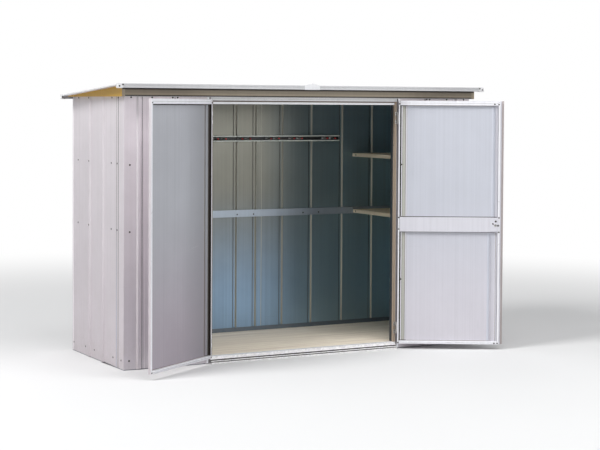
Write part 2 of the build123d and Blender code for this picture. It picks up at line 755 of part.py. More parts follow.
# latch plate inside the free edge and the pull outside
plate_face = door_inner_y
latch_x = door_edge_free + latch_back
with BuildPart() as latch:
    with BuildSketch(Plane.XZ.offset(-plate_face)):
        with Locations((latch_x, latch_height)):
            RectangleRounded(latch_width, latch_length, latch_round)
    extrude(amount=-latch_plate)
    with BuildSketch(Plane.XZ.offset(-plate_face - latch_plate)):
        with Locations((latch_x - cam_aside, latch_height + cam_above)):
            SlotCenterToCenter(cam_length, cam_width, rotation=cam_turn)
    extrude(amount=-latch_cam)
keep(swing_right(latch.part), "door_right_latch")
with BuildPart() as pull:
    with BuildSketch(Plane.XZ.offset(-skin_y)):
        with Locations((latch_x, latch_height - handle_length / 2 + handle_inset),
                       (latch_x, latch_height + handle_length / 2 - handle_inset)):
            Circle(handle_post)
    extrude(amount=handle_reach - handle_bar)
    with BuildSketch(Plane.XZ.offset(-skin_y + handle_reach - handle_bar)):
        with Locations((latch_x, latch_height)):
            RectangleRounded(handle_width, handle_length, handle_round)
    extrude(amount=handle_bar)
keep(swing_right(pull.part), "door_right_pull")

# ---- hinges -----------------------------------------------------------------
knuckle = hinge_length / 3


def ring(low, high, bore):
    with BuildPart() as tube:
        with BuildSketch(Plane.XY.offset(low)):
            with Locations((hinge_half, pin_y)):
                Circle(knuckle_radius)
                if bore:
                    Circle(bore, mode=Mode.SUBTRACT)
        extrude(amount=high - low)
    return tube.part


def jamb_leaf(centre):
    """Outer knuckles, the pin, and a leg bent to a leaf over the jamb's face."""
    low, high = centre - hinge_length / 2, centre + hinge_length / 2
    leg_x = hinge_half + leg_out
    leg_run = [(leg_x, pin_y), (leg_x, -half_d), (hinge_half - leaf_width, -half_d)]
    with BuildPart() as leaf:
        for a, b in ((low, low + knuckle - knuckle_gap), (high - knuckle + knuckle_gap, high)):
            add(ring(a, b, None))
            add(upright(strip(leg_run, leaf_sheet), a, b))
        with BuildSketch(Plane.XY.offset(low)):
            with Locations((hinge_half, pin_y)):
                Circle(pin_radius)
        extrude(amount=hinge_length)
    return leaf.part


def door_leaf(centre):
    """Middle knuckle, and a leaf flat on the door's hinge edge."""
    low = centre - knuckle / 2 + knuckle_gap
    high = centre + knuckle / 2 - knuckle_gap
    root = hinge_half - (knuckle_radius + pin_radius + pin_clearance) / 2
    with BuildPart() as leaf:
        add(ring(low, high, pin_radius + pin_clearance))
        with BuildSketch(Plane.XY.offset(low)):
            with BuildLine():
                Polyline((root, pin_y - web_half), (root, pin_y + web_half),
                         (door_edge_hinge, pin_y + web_half), (door_edge_hinge, pin_y - web_half),
                         close=True)
            make_face()
        extrude(amount=high - low)
        with BuildSketch(Plane.XY.offset(centre - hinge_length / 2)):
            with BuildLine():
                Polyline((door_edge_hinge, door_outer_y + leaf_margin),
                         (door_edge_hinge + leaf_sheet, door_outer_y + leaf_margin),
                         (door_edge_hinge + leaf_sheet, door_inner_y - leaf_margin),
                         (door_edge_hinge, door_inner_y - leaf_margin), close=True)
            make_face()
        extrude(amount=hinge_length)
    return leaf.part


jamb_leaves = Compound(children=[jamb_leaf(z) for z in hinge_heights])
keep(Compound(children=[jamb_leaves, mirrored(jamb_leaves)]), "jamb_hinge_leaves")
door_leaves = Compound(children=[door_leaf(z) for z in hinge_heights])
keep(swing_right(door_leaves), "door_right_hinge_leaves")
keep(swing_left(mirrored(door_leaves)), "door_left_hinge_leaves")
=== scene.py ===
import json
import math

import bmesh
import bpy
from bpy.props import FloatProperty, FloatVectorProperty, IntProperty, PointerProperty
from mathutils import Matrix, Vector
from mathutils.bvhtree import BVHTree


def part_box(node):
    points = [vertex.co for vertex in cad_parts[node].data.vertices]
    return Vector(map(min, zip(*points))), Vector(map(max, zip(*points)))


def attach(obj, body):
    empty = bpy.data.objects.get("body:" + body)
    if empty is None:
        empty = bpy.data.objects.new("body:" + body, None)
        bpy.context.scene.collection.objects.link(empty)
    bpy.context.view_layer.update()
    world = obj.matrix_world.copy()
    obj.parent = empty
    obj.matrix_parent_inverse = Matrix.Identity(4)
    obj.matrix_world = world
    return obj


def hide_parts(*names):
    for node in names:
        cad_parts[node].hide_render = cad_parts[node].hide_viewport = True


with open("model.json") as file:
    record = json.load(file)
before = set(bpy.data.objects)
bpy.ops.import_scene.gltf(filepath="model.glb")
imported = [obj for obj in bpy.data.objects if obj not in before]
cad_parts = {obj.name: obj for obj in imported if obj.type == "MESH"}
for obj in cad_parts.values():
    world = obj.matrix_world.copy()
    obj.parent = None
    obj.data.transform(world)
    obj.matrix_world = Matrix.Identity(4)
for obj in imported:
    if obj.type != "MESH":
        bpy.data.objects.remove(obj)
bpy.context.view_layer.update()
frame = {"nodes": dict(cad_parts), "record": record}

bl_info = {
    "name": "Metal tool shed",
    "version": (1, 0, 0),
    "blender": (4, 5, 0),
    "location": "View3D > Sidebar > Tool shed",
    "description": "Dresses the packed tool shed: rolled sheets, fittings, screws, finishes and stage",
    "category": "Object",
}

SLOTS = {row["node"]: row["material_slot"] for row in frame["record"]["subparts"]}
BODIES = {node: body for body, nodes in frame["record"]["behaviour"]["bodies"].items() for node in nodes}
WALLS = ["corner_front_left", "corner_front_right", "corner_rear_pair", "front_panel_left",
         "front_panel_right", "side_panel_left", "side_panel_right", "back_panel_left",
         "back_panel_middle", "back_panel_right"]
PANS = ["door_left_panel", "door_right_panel"]
FRAMES = ["door_jamb_left", "door_jamb_right", "door_header", "door_sill", "base_rails",
          "wall_top_rails", "mid_brace_rear", "shelves_left", "shelves_right", "tool_rail",
          "fascias", "gable_left", "gable_right", "roof_panel_left", "roof_panel_right",
          "roof_trim_front", "roof_trim_edges", "door_left_end_rails", "door_left_stile",
          "door_right_end_rails", "door_right_mid_rail", "door_right_stiles"]
# header_white and trim_front are lit and shaded copies of the trim enamel: painted light and painted shade
FRAME_COATS = {"mid_brace_rear": "brace_coat", "roof_panel_left": "roof_white", "base_rails": "base_shade",
               "roof_panel_right": "roof_white", "roof_trim_front": "trim_front",
               "door_header": "header_white", "door_left_stile": "door_left_inside",
               "door_right_mid_rail": "door_brace", "door_right_stiles": "door_brace",
               "door_left_end_rails": "door_lip", "door_right_end_rails": "door_lip"}
FITTINGS = {"roof_corner_caps": 1.6, "roof_trim_splice": 1.2, "door_right_latch": 0.8,
            "door_right_pull": 2.0, "jamb_hinge_leaves": 0.35, "door_left_hinge_leaves": 0.35,
            "door_right_hinge_leaves": 0.35}      # how far their edges are rounded, in mm
ACROSS, BEHIND, AHEAD, UP = (1, 0, 0), (0, 1, 0), (0, -1, 0), (0, 0, 1)
HINGE_X, HINGE_Y = 0.668, -0.454          # pin of each door, from the middle
OPENING = {"left": math.radians(147.0), "right": math.radians(150.0)}
LIP, SKIN = 0.009, -0.0108                # depth of the doors' lips and skins behind the pins
BETWEEN = 0.004                           # a depth between those two
PAN_FOOT, PAN_TOP = 0.0542, 1.5908        # where the skins meet the end rails
RAIL_FOOT, RAIL_TOP = 0.768, 0.863        # where the right door's skin meets its middle rail
FOOT_ROW, BRACE_ROW = 0.056, 0.8415       # heights of the walls' lowest screws and the brace's
SHELF_ROWS = (1.232, 0.832)
RIBS = (-1.0, -0.756, -0.509, -0.28, -0.074, 0.074, 0.28, 0.509, 0.756, 1.0)
RIB_HALF = 0.062


def low(node):
    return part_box(node)[0]


def high(node):
    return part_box(node)[1]


def side_of(node):
    return "left" if "left" in node else "right"


def sign_of(name):
    """1 for a piece or door on the right, -1 for one on the left."""
    return 1 if name.endswith("right") else -1


def hinge(side):
    return Vector((sign_of(side) * HINGE_X, HINGE_Y, 0))


def door_turn(side):
    return Matrix.Rotation(sign_of(side) * OPENING[side], 3, "Z")


def door_way(side, along, depth, z):
    """Direction on a door as it stands open: away from its hinge, inward through it, upward."""
    return door_turn(side) @ Vector((-sign_of(side) * along, depth, z))


def on_door(side, along, depth, z):
    """Point of a door as it stands open: metres from its hinge line, behind its pin, and height."""
    return hinge(side) + door_way(side, along, depth, z)


def in_door(side, place):
    """The inverse of on_door."""
    back = door_turn(side).transposed() @ (place - hinge(side))
    return Vector((-sign_of(side) * back.x, back.y, back.z))


# ---- settings ---------------------------------------------------------------
def length(name, about, value, least, most):
    return FloatProperty(name=name, description=about, default=value, min=least, max=most, unit="LENGTH")


def colour(name, about, value):
    return FloatVectorProperty(name=name, description=about, default=value, subtype="COLOR",
                               size=3, min=0.0, max=1.0)


class ShedSizes(bpy.types.PropertyGroup):
    fold_offset: length("Fold", "How far a fold's rounding reaches into its outer faces",
                        0.0020, 0.0004, 0.004)
    fold_inner: length("Inner fold", "The same on the inside of a fold", 0.0010, 0.0003, 0.003)
    screw_head: length("Screw head", "Radius of a sheet screw's head", 0.0042, 0.002, 0.008)
    screw_washer: length("Screw washer", "Radius of the washer under it", 0.0058, 0.003, 0.012)
    screw_height: length("Screw height", "Height of head and washer", 0.0026, 0.001, 0.006)
    screw_seed: IntProperty(name="Screw turn", description="Seed of the screws' turned crosses", default=7)
    peg_radius: length("Hook radius", "Radius of a tool hook's prong", 0.0029, 0.002, 0.006)


class ShedColours(bpy.types.PropertyGroup):
    wall: colour("Walls", "Enamel of walls and door faces", (0.655, 0.612, 0.642))
    inside: colour("Inside", "Reverse coat of the wall sheets", (0.215, 0.214, 0.183))
    # the bluer colour the inner coat turns to towards the right: a painted reflection
    inside_right: colour("Inside at the right", "The same coat towards the right", (0.28, 0.40, 0.45))
    door_inside: colour("Right door inside", "Reverse coat of the right door", (0.512, 0.528, 0.585))
    # darker than the right door's coat, partly as painted shade
    door_shaded: colour("Left door inside", "Reverse coat of the left door", (0.435, 0.445, 0.480))
    trim: colour("Trims", "Enamel of trims, header and door rails", (0.68, 0.685, 0.70))
    # painted shade in joints, slots and grooves
    seam: colour("Seams", "Shaded joints and recesses", (0.19, 0.15, 0.125))
    door_lip: colour("Door lips", "Lips and end rails inside the doors", (0.85, 0.85, 0.89))
    door_brace: colour("Door braces", "Middle rail, stiles and latch plate", (0.64, 0.635, 0.685))
    base: colour("Base rails", "Base rails round the deck", (0.13, 0.165, 0.20))
    stile: colour("Stile middle", "Sunk middle of the stiles", (0.42, 0.42, 0.38))
    # painted shade: the meeting strip's outer flange in shade
    strip: colour("Meeting strip", "Strip along the right door's free edge", (0.43, 0.38, 0.375))
    brace: colour("Brace", "Brace across the back wall", (0.40, 0.46, 0.53))
    sill: colour("Threshold", "Ridged threshold", (0.88, 0.87, 0.88))
    screw: colour("Screws", "Weathered sheet screws", (0.06, 0.055, 0.05))
    # painted shade: the crosses stand for the shaded cross recesses
    recess: colour("Screw recess", "Crosses in the screws' heads", (0.03, 0.03, 0.03))
    plastic: colour("Caps", "Moulded roof caps", (0.72, 0.72, 0.73))
    jamb: colour("Jambs", "Enamel of the door jambs", (0.40, 0.315, 0.235))
    # raised towards white, partly as painted light
    shelf: colour("Shelves", "Enamel of shelves", (0.95, 0.84, 0.62))
    fascia: colour("Fascias", "Enamel of the front and rear fascias", (0.192, 0.161, 0.115))
    gable: colour("Gables", "Enamel of the gables", (0.58, 0.335, 0.036))
    zinc: colour("Zinc", "Zinc coat of the rails at the wall top", (0.56, 0.57, 0.58))
    # near black: painted shade of the tool rail's inner web
    dark: colour("Tool rail", "Enamel of the tool rail", (0.035, 0.034, 0.034))
    lip: colour("Tool rail lips", "Bright lips of the tool rail", (0.80, 0.86, 0.80))
    steel: colour("Steel", "Hinges, pull, hooks and latch bolt", (0.62, 0.61, 0.60))
    cap_red: colour("Hook tips", "Soft tips of the tool hooks", (0.95, 0.10, 0.09))
    # raised towards white, partly as painted light
    deck: colour("Deck", "Plywood floor", (0.98, 0.86, 0.71))
    timber: colour("Joists", "Sawn joists", (0.42, 0.28, 0.15))
    floor: colour("Stage floor", "Plain floor under the shed", (0.66, 0.66, 0.66))


def sizes():
    return bpy.context.scene.shed_sizes


def colours():
    return bpy.context.scene.shed_colours


# ---- node graphs ------------------------------------------------------------
FLOAT, VEC, GEOMETRY = "NodeSocketFloat", "NodeSocketVector", "NodeSocketGeometry"


class Graph:
    """Adds nodes to a tree; an input is a plain value or another node's output."""

    def __init__(self, tree):
        self.tree = tree

    def node(self, kind, inputs=None, **settings):
        made = self.tree.nodes.new(kind)
        for key, value in settings.items():
            setattr(made, key, value)
        for key, value in (inputs or {}).items():
            self.put(made.inputs[key], value)
        return made

    def first(self, kind, inputs=None, **settings):
        return self.node(kind, inputs, **settings).outputs[0]

    def put(self, socket, value):
        if isinstance(value, bpy.types.NodeSocket):
            self.tree.links.new(value, socket)
        else:
            socket.default_value = value

    def math(self, how, a, b=0.0, clamp=False):
        return self.first("ShaderNodeMath", {0: a, 1: b}, operation=how, use_clamp=clamp)

    def plus(self, a, b, clamp=False):
        return self.math("ADD", a, b, clamp)

    def times(self, a, b, clamp=False):
        return self.math("MULTIPLY", a, b, clamp)

    def mix(self, share, a, b):
        return self.node("ShaderNodeMix", {0: share, 6: a, 7: b}, data_type="RGBA").outputs[2]

    def ramp(self, value, start, end):
        return self.first("ShaderNodeMapRange", {0: value, 1: start, 2: end}, interpolation_type="SMOOTHSTEP")

    def noise(self, vector, scale, detail=2.0, roughness=0.5):
        return self.first("ShaderNodeTexNoise", {"Vector": vector, "Scale": scale, "Detail": detail,
                                                 "Roughness": roughness})

    def stretched(self, vector, scale, turn=(0.0, 0.0, 0.0)):
        return self.first("ShaderNodeMapping", {"Vector": vector, "Rotation": turn, "Scale": scale})

    def combined(self, x, y, z):
        return self.first("ShaderNodeCombineXYZ", {0: x, 1: y, 2: z})

    def upward(self, vector):
        return self.node("ShaderNodeSeparateXYZ", {0: vector}).outputs[2]

    def bump(self, shader, height, distance=1.0, strength=1.0):
        self.put(shader.inputs["Normal"], self.first("ShaderNodeBump", {
            "Height": height, "Distance": distance, "Strength": strength}))


# ---- shader groups ----------------------------------------------------------
def grain_parts(g, given):
    peel = g.noise(given["Vector"], given["Scale"], 2.0, 0.45)
    roll = g.noise(g.stretched(given["Vector"], (1.0, 1.0, 0.25)), 7.0, 1.0)
    pressed = g.times(g.math("SUBTRACT", roll, 0.5), given["Waviness"])
    return {"Height": g.plus(g.times(peel, given["Depth"]), pressed),
            "Tone": g.noise(given["Vector"], 3.2, 3.0, 0.6)}


def dust_parts(g, given):
    where = given["Vector"]
    patch = g.ramp(g.noise(where, 9.0, 5.0, 0.65), 0.38, 0.72)
    runs = g.ramp(g.noise(g.stretched(where, (34.0, 34.0, 0.9)), 1.0, 3.0, 0.6), 0.50, 0.78)
    splash = g.times(g.ramp(g.upward(where), 0.30, 0.0), g.ramp(g.noise(where, 26.0, 6.0, 0.7), 0.30, 0.75))
    flat = g.ramp(g.upward(g.node("ShaderNodeNewGeometry").outputs["Normal"]), 0.35, 0.95)
    lying = g.times(flat, g.plus(g.times(patch, 0.5), 0.5))
    film = g.plus(g.times(patch, 0.22), g.times(runs, 0.30))
    whole = g.plus(film, g.plus(g.times(splash, 0.9), lying))
    return {"Mask": g.times(whole, given["Amount"], True)}


def scratch_parts(g, given):
    long_ways, short_ways = (
        g.ramp(g.noise(g.stretched(given["Vector"], scale, turn), 1.0, 1.0, 0.4), 0.735, 0.765)
        for turn, scale in (((0.3, 0.2, 0.5), (3.0, 3.0, 260.0)), ((0.2, -0.5, 1.9), (260.0, 4.0, 5.0))))
    where = g.ramp(g.noise(given["Vector"], 2.6, 2.0), 0.48, 0.66)
    both = g.math("MAXIMUM", long_ways, short_ways)
    return {"Mask": g.times(g.times(both, where), given["Amount"], True)}


def wear_parts(g, given):
    fold = g.node("ShaderNodeAttribute", attribute_name="fold").outputs["Fac"]
    rubbed = g.ramp(g.noise(given["Vector"], 42.0, 4.0, 0.7), 0.46, 0.66)
    return {"Mask": g.times(g.times(fold, rubbed), given["Amount"], True)}


# what builds each group, its inputs beside the vector, and its outputs
GROUPS = {"sheet_grain": (grain_parts, {"Scale": 900.0, "Depth": 0.00004, "Waviness": 0.0008},
                          ("Height", "Tone")),
          "dust_and_runs": (dust_parts, {"Amount": 0.5}, ("Mask",)),
          "fine_scratches": (scratch_parts, {"Amount": 0.5}, ("Mask",)),
          "rubbed_folds": (wear_parts, {"Amount": 0.4}, ("Mask",))}


def shader_group(name):
    """A group of the table above, made when first asked for."""
    if name in bpy.data.node_groups:
        return bpy.data.node_groups[name]
    build, inputs, outputs = GROUPS[name]
    tree = bpy.data.node_groups.new(name, "ShaderNodeTree")
    tree.interface.new_socket("Vector", in_out="INPUT", socket_type=VEC)
    for label, default in inputs.items():
        tree.interface.new_socket(label, in_out="INPUT", socket_type=FLOAT).default_value = default
    for label in outputs:
        tree.interface.new_socket(label, in_out="OUTPUT", socket_type=FLOAT)
    g = Graph(tree)
    given, taken = g.node("NodeGroupInput").outputs, g.node("NodeGroupOutput").inputs
    for label, value in build(g, given).items():
        g.put(taken[label], value)
    return tree


def placed(g, name, where, **inputs):
    made = g.node("ShaderNodeGroup", node_tree=shader_group(name))
    for key, value in {"Vector": where, **inputs}.items():
        g.put(made.inputs[key], value)
    return made.outputs


# ---- materials --------------------------------------------------------------
def new_material(name):
    made = bpy.data.materials.new("shed_" + name)
    made.use_nodes = True
    made.node_tree.nodes.clear()
    graph = Graph(made.node_tree)
    shader = graph.node("ShaderNodeBsdfPrincipled")
    out = graph.node("ShaderNodeOutputMaterial", {0: shader.outputs[0]})
    where = graph.node("ShaderNodeTexCoord").outputs["Object"]
    return made, graph, shader, out, where


def tinted(rgb, factor):
    return (*(min(part * factor, 1.0) for part in rgb[:3]), 1.0)


def enamel(name, rgb, dust=0.35, gloss=0.36, scratches=0.35, wear=0.35, dust_rgb=(0.30, 0.26, 0.21),
           metal=0.0, rolled=0.045, fineness=60.0, foot=(1.0, 1.0, 1.0), fade=None):
    """Baked enamel on sheet: roll lines, slow dents, dust with rain runs, scratches, rubbed folds, a foot
    colour towards the bottom and an optional fade across; some finishes use foot and fade for painted light,
    shade or reflection.
    """
    made, g, shader, _, where = new_material(name)
    grain = placed(g, "sheet_grain", where)
    dirt = placed(g, "dust_and_runs", where, Amount=dust)["Mask"]
    marks = placed(g, "fine_scratches", where, Amount=scratches)["Mask"]
    rubbed = placed(g, "rubbed_folds", where, Amount=wear)["Mask"]
    lines = g.noise(g.stretched(where, (fineness, fineness, 0.45)), 1.0, 4.0, 0.62)
    tone = g.ramp(g.plus(g.times(grain["Tone"], 0.4), g.times(lines, 0.6)), 0.36, 0.64)
    # colour towards the bottom: painted shade on the lit front walls, painted reflection on the inner coat,
    # elsewhere only lighter or darker towards the bottom
    foot_rgb = [part * share for part, share in zip(rgb, foot)]
    high_tone, low_tone = (g.mix(tone, tinted(base, 1.0 - rolled), tinted(base, 1.0 + rolled * 0.6))
                           for base in (rgb, foot_rgb))
    toned = g.mix(g.ramp(g.upward(where), 1.1, 0.1), high_tone, low_tone)
    # fade across: painted shade towards the left door's hinge, painted reflection towards the room's right
    if fade:
        way, start, end, share, other = fade()
        across = g.node("ShaderNodeVectorMath", {0: where, 1: way}, operation="DOT_PRODUCT").outputs["Value"]
        painted_fade = g.times(g.ramp(across, start, end), g.plus(g.times(lines, 0.6), 0.7))
        toned = g.mix(g.times(painted_fade, share, True), toned, other)
    shader.inputs["Metallic"].default_value = metal
    dusty = g.mix(g.times(dirt, 0.55), toned, (*dust_rgb, 1.0))
    marked = g.mix(g.times(marks, 0.45), dusty, tinted(rgb, 0.55))
    g.put(shader.inputs["Base Color"], g.mix(g.times(rubbed, 0.6), marked, tinted(rgb, 0.72)))
    rough = g.plus(g.times(dirt, 0.35), g.times(lines, 0.14))
    g.put(shader.inputs["Roughness"], g.plus(rough, gloss, True))
    g.bump(shader, g.math("SUBTRACT", grain["Height"], g.times(marks, 0.00004)))
    return made


def zinc(name, rgb, rough=0.42, metal=1.0, dust=0.3, spangle=60.0):
    """Zinc coat: flat crystals of slightly different tone and gloss, dust in the low parts."""
    made, g, shader, _, where = new_material(name)
    cells = g.node("ShaderNodeTexVoronoi", {"Vector": where, "Scale": spangle}, feature="F1").outputs["Color"]
    tone = g.first("ShaderNodeSeparateColor", {0: cells})
    dirt = placed(g, "dust_and_runs", where, Amount=dust)["Mask"]
    marks = placed(g, "fine_scratches", where, Amount=0.5)["Mask"]
    base = g.mix(tone, tinted(rgb, 0.86), tinted(rgb, 1.10))
    dusty = g.mix(g.times(dirt, 0.6), base, (0.33, 0.29, 0.24, 1.0))
    g.put(shader.inputs["Base Color"], g.mix(g.times(marks, 0.4), dusty, tinted(rgb, 1.3)))
    shader.inputs["Metallic"].default_value = metal
    spread = g.plus(g.times(tone, 0.12), g.times(dirt, 0.30))
    g.put(shader.inputs["Roughness"], g.plus(spread, rough, True))
    g.bump(shader, placed(g, "sheet_grain", where, Scale=600.0, Depth=0.00003, Waviness=0.0003)["Height"])
    return made


def plastic(name, rgb, rough=0.42):
    """Moulded plastic: fine matt texture, slight yellowing and dust on top."""
    made, g, shader, _, where = new_material(name)
    tone = g.noise(where, 12.0, 3.0)
    dirt = placed(g, "dust_and_runs", where, Amount=0.35)["Mask"]
    base = g.mix(tone, tinted(rgb, 0.93), tinted(rgb, 1.03))
    g.put(shader.inputs["Base Color"], g.mix(g.times(dirt, 0.5), base, (0.32, 0.28, 0.23, 1.0)))
    g.put(shader.inputs["Roughness"], g.plus(g.times(tone, 0.15), rough, True))
    g.bump(shader, g.noise(where, 1400.0, 2.0), 0.00006, 0.6)
    return made


def wood(name, rgb, along=(1.2, 26.0, 26.0), worn=0.5):
    """Sawn or peeled wood: fibres along one axis, broad figure, worn and dusty patches."""
    made, g, shader, _, where = new_material(name)
    warp = g.noise(where, 3.0, 2.0)
    shifted = g.first("ShaderNodeVectorMath", {0: g.stretched(where, along), 1: g.combined(warp, warp, warp)},
                      operation="ADD")
    figure = g.noise(shifted, 0.7, 4.0, 0.6)
    fibre = g.noise(g.stretched(where, (along[0] * 6.0, along[1] * 14.0, along[2] * 14.0)), 1.0, 3.0, 0.6)
    patch = g.ramp(g.noise(where, 5.0, 5.0, 0.7), 0.42, 0.70)
    base = g.mix(g.ramp(figure, 0.35, 0.68), tinted(rgb, 0.84), tinted(rgb, 1.06))
    fine = g.mix(g.times(g.ramp(fibre, 0.48, 0.72), 0.28), base, tinted(rgb, 0.52))
    g.put(shader.inputs["Base Color"], g.mix(g.times(patch, worn), fine, tinted(rgb, 0.88)))
    g.put(shader.inputs["Roughness"], g.plus(g.times(fibre, 0.2), 0.58, True))
    g.bump(shader, fibre, 0.0006, 0.5)
    return made


def hinge_shade_fade():
    """Where painted shade darkens the left door's inner coat towards its hinge: direction, start, end, share,
    colour.
    """
    way = door_way("left", 1, 0, 0)
    return (tuple(way), on_door("left", 0.34, 0, 0).dot(way), on_door("left", 0.07, 0, 0).dot(way), 0.46,
            tinted(colours().door_shaded, 0.45))


def room_reflection_fade():
    """The same for the walls' inner coat, which turns bluer towards the right as a painted reflection."""
    return ACROSS, 0.05, 0.80, 0.9, (*colours().inside_right, 1.0)


FASCIA_DUST = (0.42, 0.39, 0.33)
# each finish: what makes it, the colour it starts from, that colour's factor and the other values
FINISHES = {
    "wall_white": (enamel, "wall", 1.0, dict(dust=0.34, metal=0.2, gloss=0.27, foot=(0.89, 0.87, 0.88))),
    # a lit copy of the wall enamel for faces that look ahead: painted light, darker towards the bottom as
    # painted shade
    "wall_front": (enamel, "wall", 1.22, dict(dust=0.34, metal=0.2, gloss=0.27, foot=(0.79, 0.79, 0.81))),
    # painted shade in seams and laps
    "wall_seam": (enamel, "wall", 0.26, dict(dust=0.2, gloss=0.4)),
    # painted shade in creases
    "wall_crease": (enamel, "wall", 0.66, dict(dust=0.3, gloss=0.3)),
    # a lit copy of the wall enamel: painted highlight on shaded rib flanks and on the rear corner's edge
    "wall_edge": (enamel, "wall", 1.35, dict(dust=0.1, gloss=0.27)),
    # painted highlight and painted shade on the back ribs' inner flanks
    "rib_light": (enamel, "inside", 2.3, dict(dust=0.1, gloss=0.3, metal=0.3)),
    "rib_dark": (enamel, "inside", 0.3, dict(dust=0.1, gloss=0.4)),
    # inner coat: bluer towards the bottom and the right as a painted reflection
    "wall_inside": (enamel, "inside", 1.0, dict(
        dust=0.12, gloss=0.26, scratches=0.4, metal=0.65, rolled=0.10, foot=(1.12, 1.70, 2.80),
        fade=room_reflection_fade)),
    "door_right_inside": (enamel, "door_inside", 1.0, dict(
        dust=0.12, gloss=0.30, scratches=0.6, metal=0.15, rolled=0.04, fineness=95.0,
        foot=(1.16, 1.09, 1.07))),
    # the left door's inner coat, darker towards its hinge as painted shade
    "door_left_inside": (enamel, "door_shaded", 1.0, dict(
        dust=0.12, gloss=0.34, scratches=0.8, metal=0.15, rolled=0.06, fineness=95.0,
        foot=(0.86, 0.75, 0.79), fade=hinge_shade_fade)),
    "stile_shade": (enamel, "door_shaded", 0.60, dict(dust=0.2, gloss=0.4)),
    # a lit copy of the right door's coat: painted light
    "door_light": (enamel, "door_inside", 1.16, dict(dust=0.1, gloss=0.30, metal=0.15)),
    "jamb_shade": (enamel, "base", 0.2, dict(dust=0.05, gloss=0.5)),
    "trim_white": (enamel, "trim", 1.0, dict(dust=0.2, gloss=0.30)),
    # a darker copy of the trim enamel: painted shade
    "trim_front": (enamel, "trim", 0.74, dict(dust=0.2, gloss=0.30)),
    # a lit copy of the trim enamel: painted light
    "header_white": (enamel, "trim", 1.2, dict(dust=0.1, gloss=0.30)),
    # painted shade in joints
    "seam_brown": (enamel, "seam", 1.0, dict(dust=0.1, gloss=0.5)),
    # painted shade in slots, grooves, gaps and under the roof trim
    "slot_dark": (enamel, "seam", 0.2, dict(dust=0.03, gloss=0.6)),
    # partly real scratches, partly painted shade in creases and mitres
    "crease": (enamel, "trim", 0.62, dict(dust=0.15, gloss=0.4)),
    # the lips' own white, also used for painted highlight lines
    "door_lip": (enamel, "door_lip", 1.0, dict(dust=0.1, gloss=0.28, metal=0.45)),
    "door_brace": (enamel, "door_brace", 1.0, dict(dust=0.12, gloss=0.30, metal=0.3)),
    "roof_white": (enamel, "wall", 1.0, dict(dust=0.95, metal=0.1)),
    "base_shade": (enamel, "base", 1.0, dict(dust=0.3, gloss=0.4, metal=0.5)),
    "stile_grey": (enamel, "stile", 1.0, dict(dust=0.25, gloss=0.35)),
    # painted shade on the meeting strip
    "strip_grey": (enamel, "strip", 1.0, dict(dust=0.25, gloss=0.40)),
    "brace_coat": (enamel, "brace", 1.0, dict(dust=0.3, gloss=0.28, metal=0.6)),
    # lit copies of the fascia enamel: painted light brightening down the fascia
    "fascia_hem": (enamel, "fascia", 1.75, dict(dust=0.3, dust_rgb=FASCIA_DUST)),
    "fascia_light": (enamel, "fascia", 1.38, dict(dust_rgb=FASCIA_DUST)),
    "fascia_end": (enamel, "fascia", 2.1, dict(dust=0.3, dust_rgb=FASCIA_DUST)),
    "fascia_taupe": (enamel, "fascia", 1.0, dict(dust=0.40, dust_rgb=FASCIA_DUST)),
    # a lit copy of the jamb enamel: painted light
    "jamb_light": (enamel, "jamb", 1.2, dict(dust=0.3, wear=0.5)),
    "jamb_beige": (enamel, "jamb", 1.0, dict(wear=0.6)),
    "shelf_beige": (enamel, "shelf", 1.0, dict(dust=0.3, wear=0.5)),
    "gable_tan": (enamel, "gable", 1.0, dict(dust=0.2, dust_rgb=(0.45, 0.40, 0.32))),
    # painted shade of the tool rail's inner web
    "rail_metal": (enamel, "dark", 1.0, dict(wear=0.9, dust_rgb=(0.30, 0.28, 0.25))),
    "rail_lip": (enamel, "lip", 1.0, dict(dust=0.2, gloss=0.3)),
    "galvanised": (zinc, "zinc", 1.0, {}),
    "sill_metal": (zinc, "sill", 1.0, dict(rough=0.34, metal=0.2, dust=0.2, spangle=90.0)),
    "hook_steel": (zinc, "steel", 1.0, dict(rough=0.28, dust=0.1, spangle=300.0)),
    "hinge_steel": (zinc, "steel", 1.0, dict(rough=0.30, dust=0.2, spangle=260.0)),
    "screw_zinc": (zinc, "screw", 1.0, dict(rough=0.40, metal=0.6, dust=0.1, spangle=500.0)),
    "bolt_grey": (zinc, "steel", 0.6, dict(rough=0.45, metal=0.3, dust=0.2, spangle=260.0)),
    # painted shade of the screws' cross recesses
    "screw_recess": (plastic, "recess", 1.0, dict(rough=0.6)),
    "cap_white": (plastic, "plastic", 1.0, {}),
    "cap_red": (plastic, "cap_red", 1.0, dict(rough=0.30)),
    "floor_wood": (wood, "deck", 1.0, {}),
    "joist_wood": (wood, "timber", 1.0, dict(along=(26.0, 1.2, 26.0), worn=0.25)),
}


def finish(name):
    """The material of a record slot or of a coat named above, made when first asked for."""
    if "shed_" + name in bpy.data.materials:
        return bpy.data.materials["shed_" + name]
    maker, tone, factor, values = FINISHES[name]
    return maker(name, tinted(getattr(colours(), tone), factor), **values)


# ---- meshes -----------------------------------------------------------------
def linked(name, data):
    made = bpy.data.objects.new(name, data)
    bpy.context.scene.collection.objects.link(made)
    return made


def stand_for(node):
    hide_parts(node)


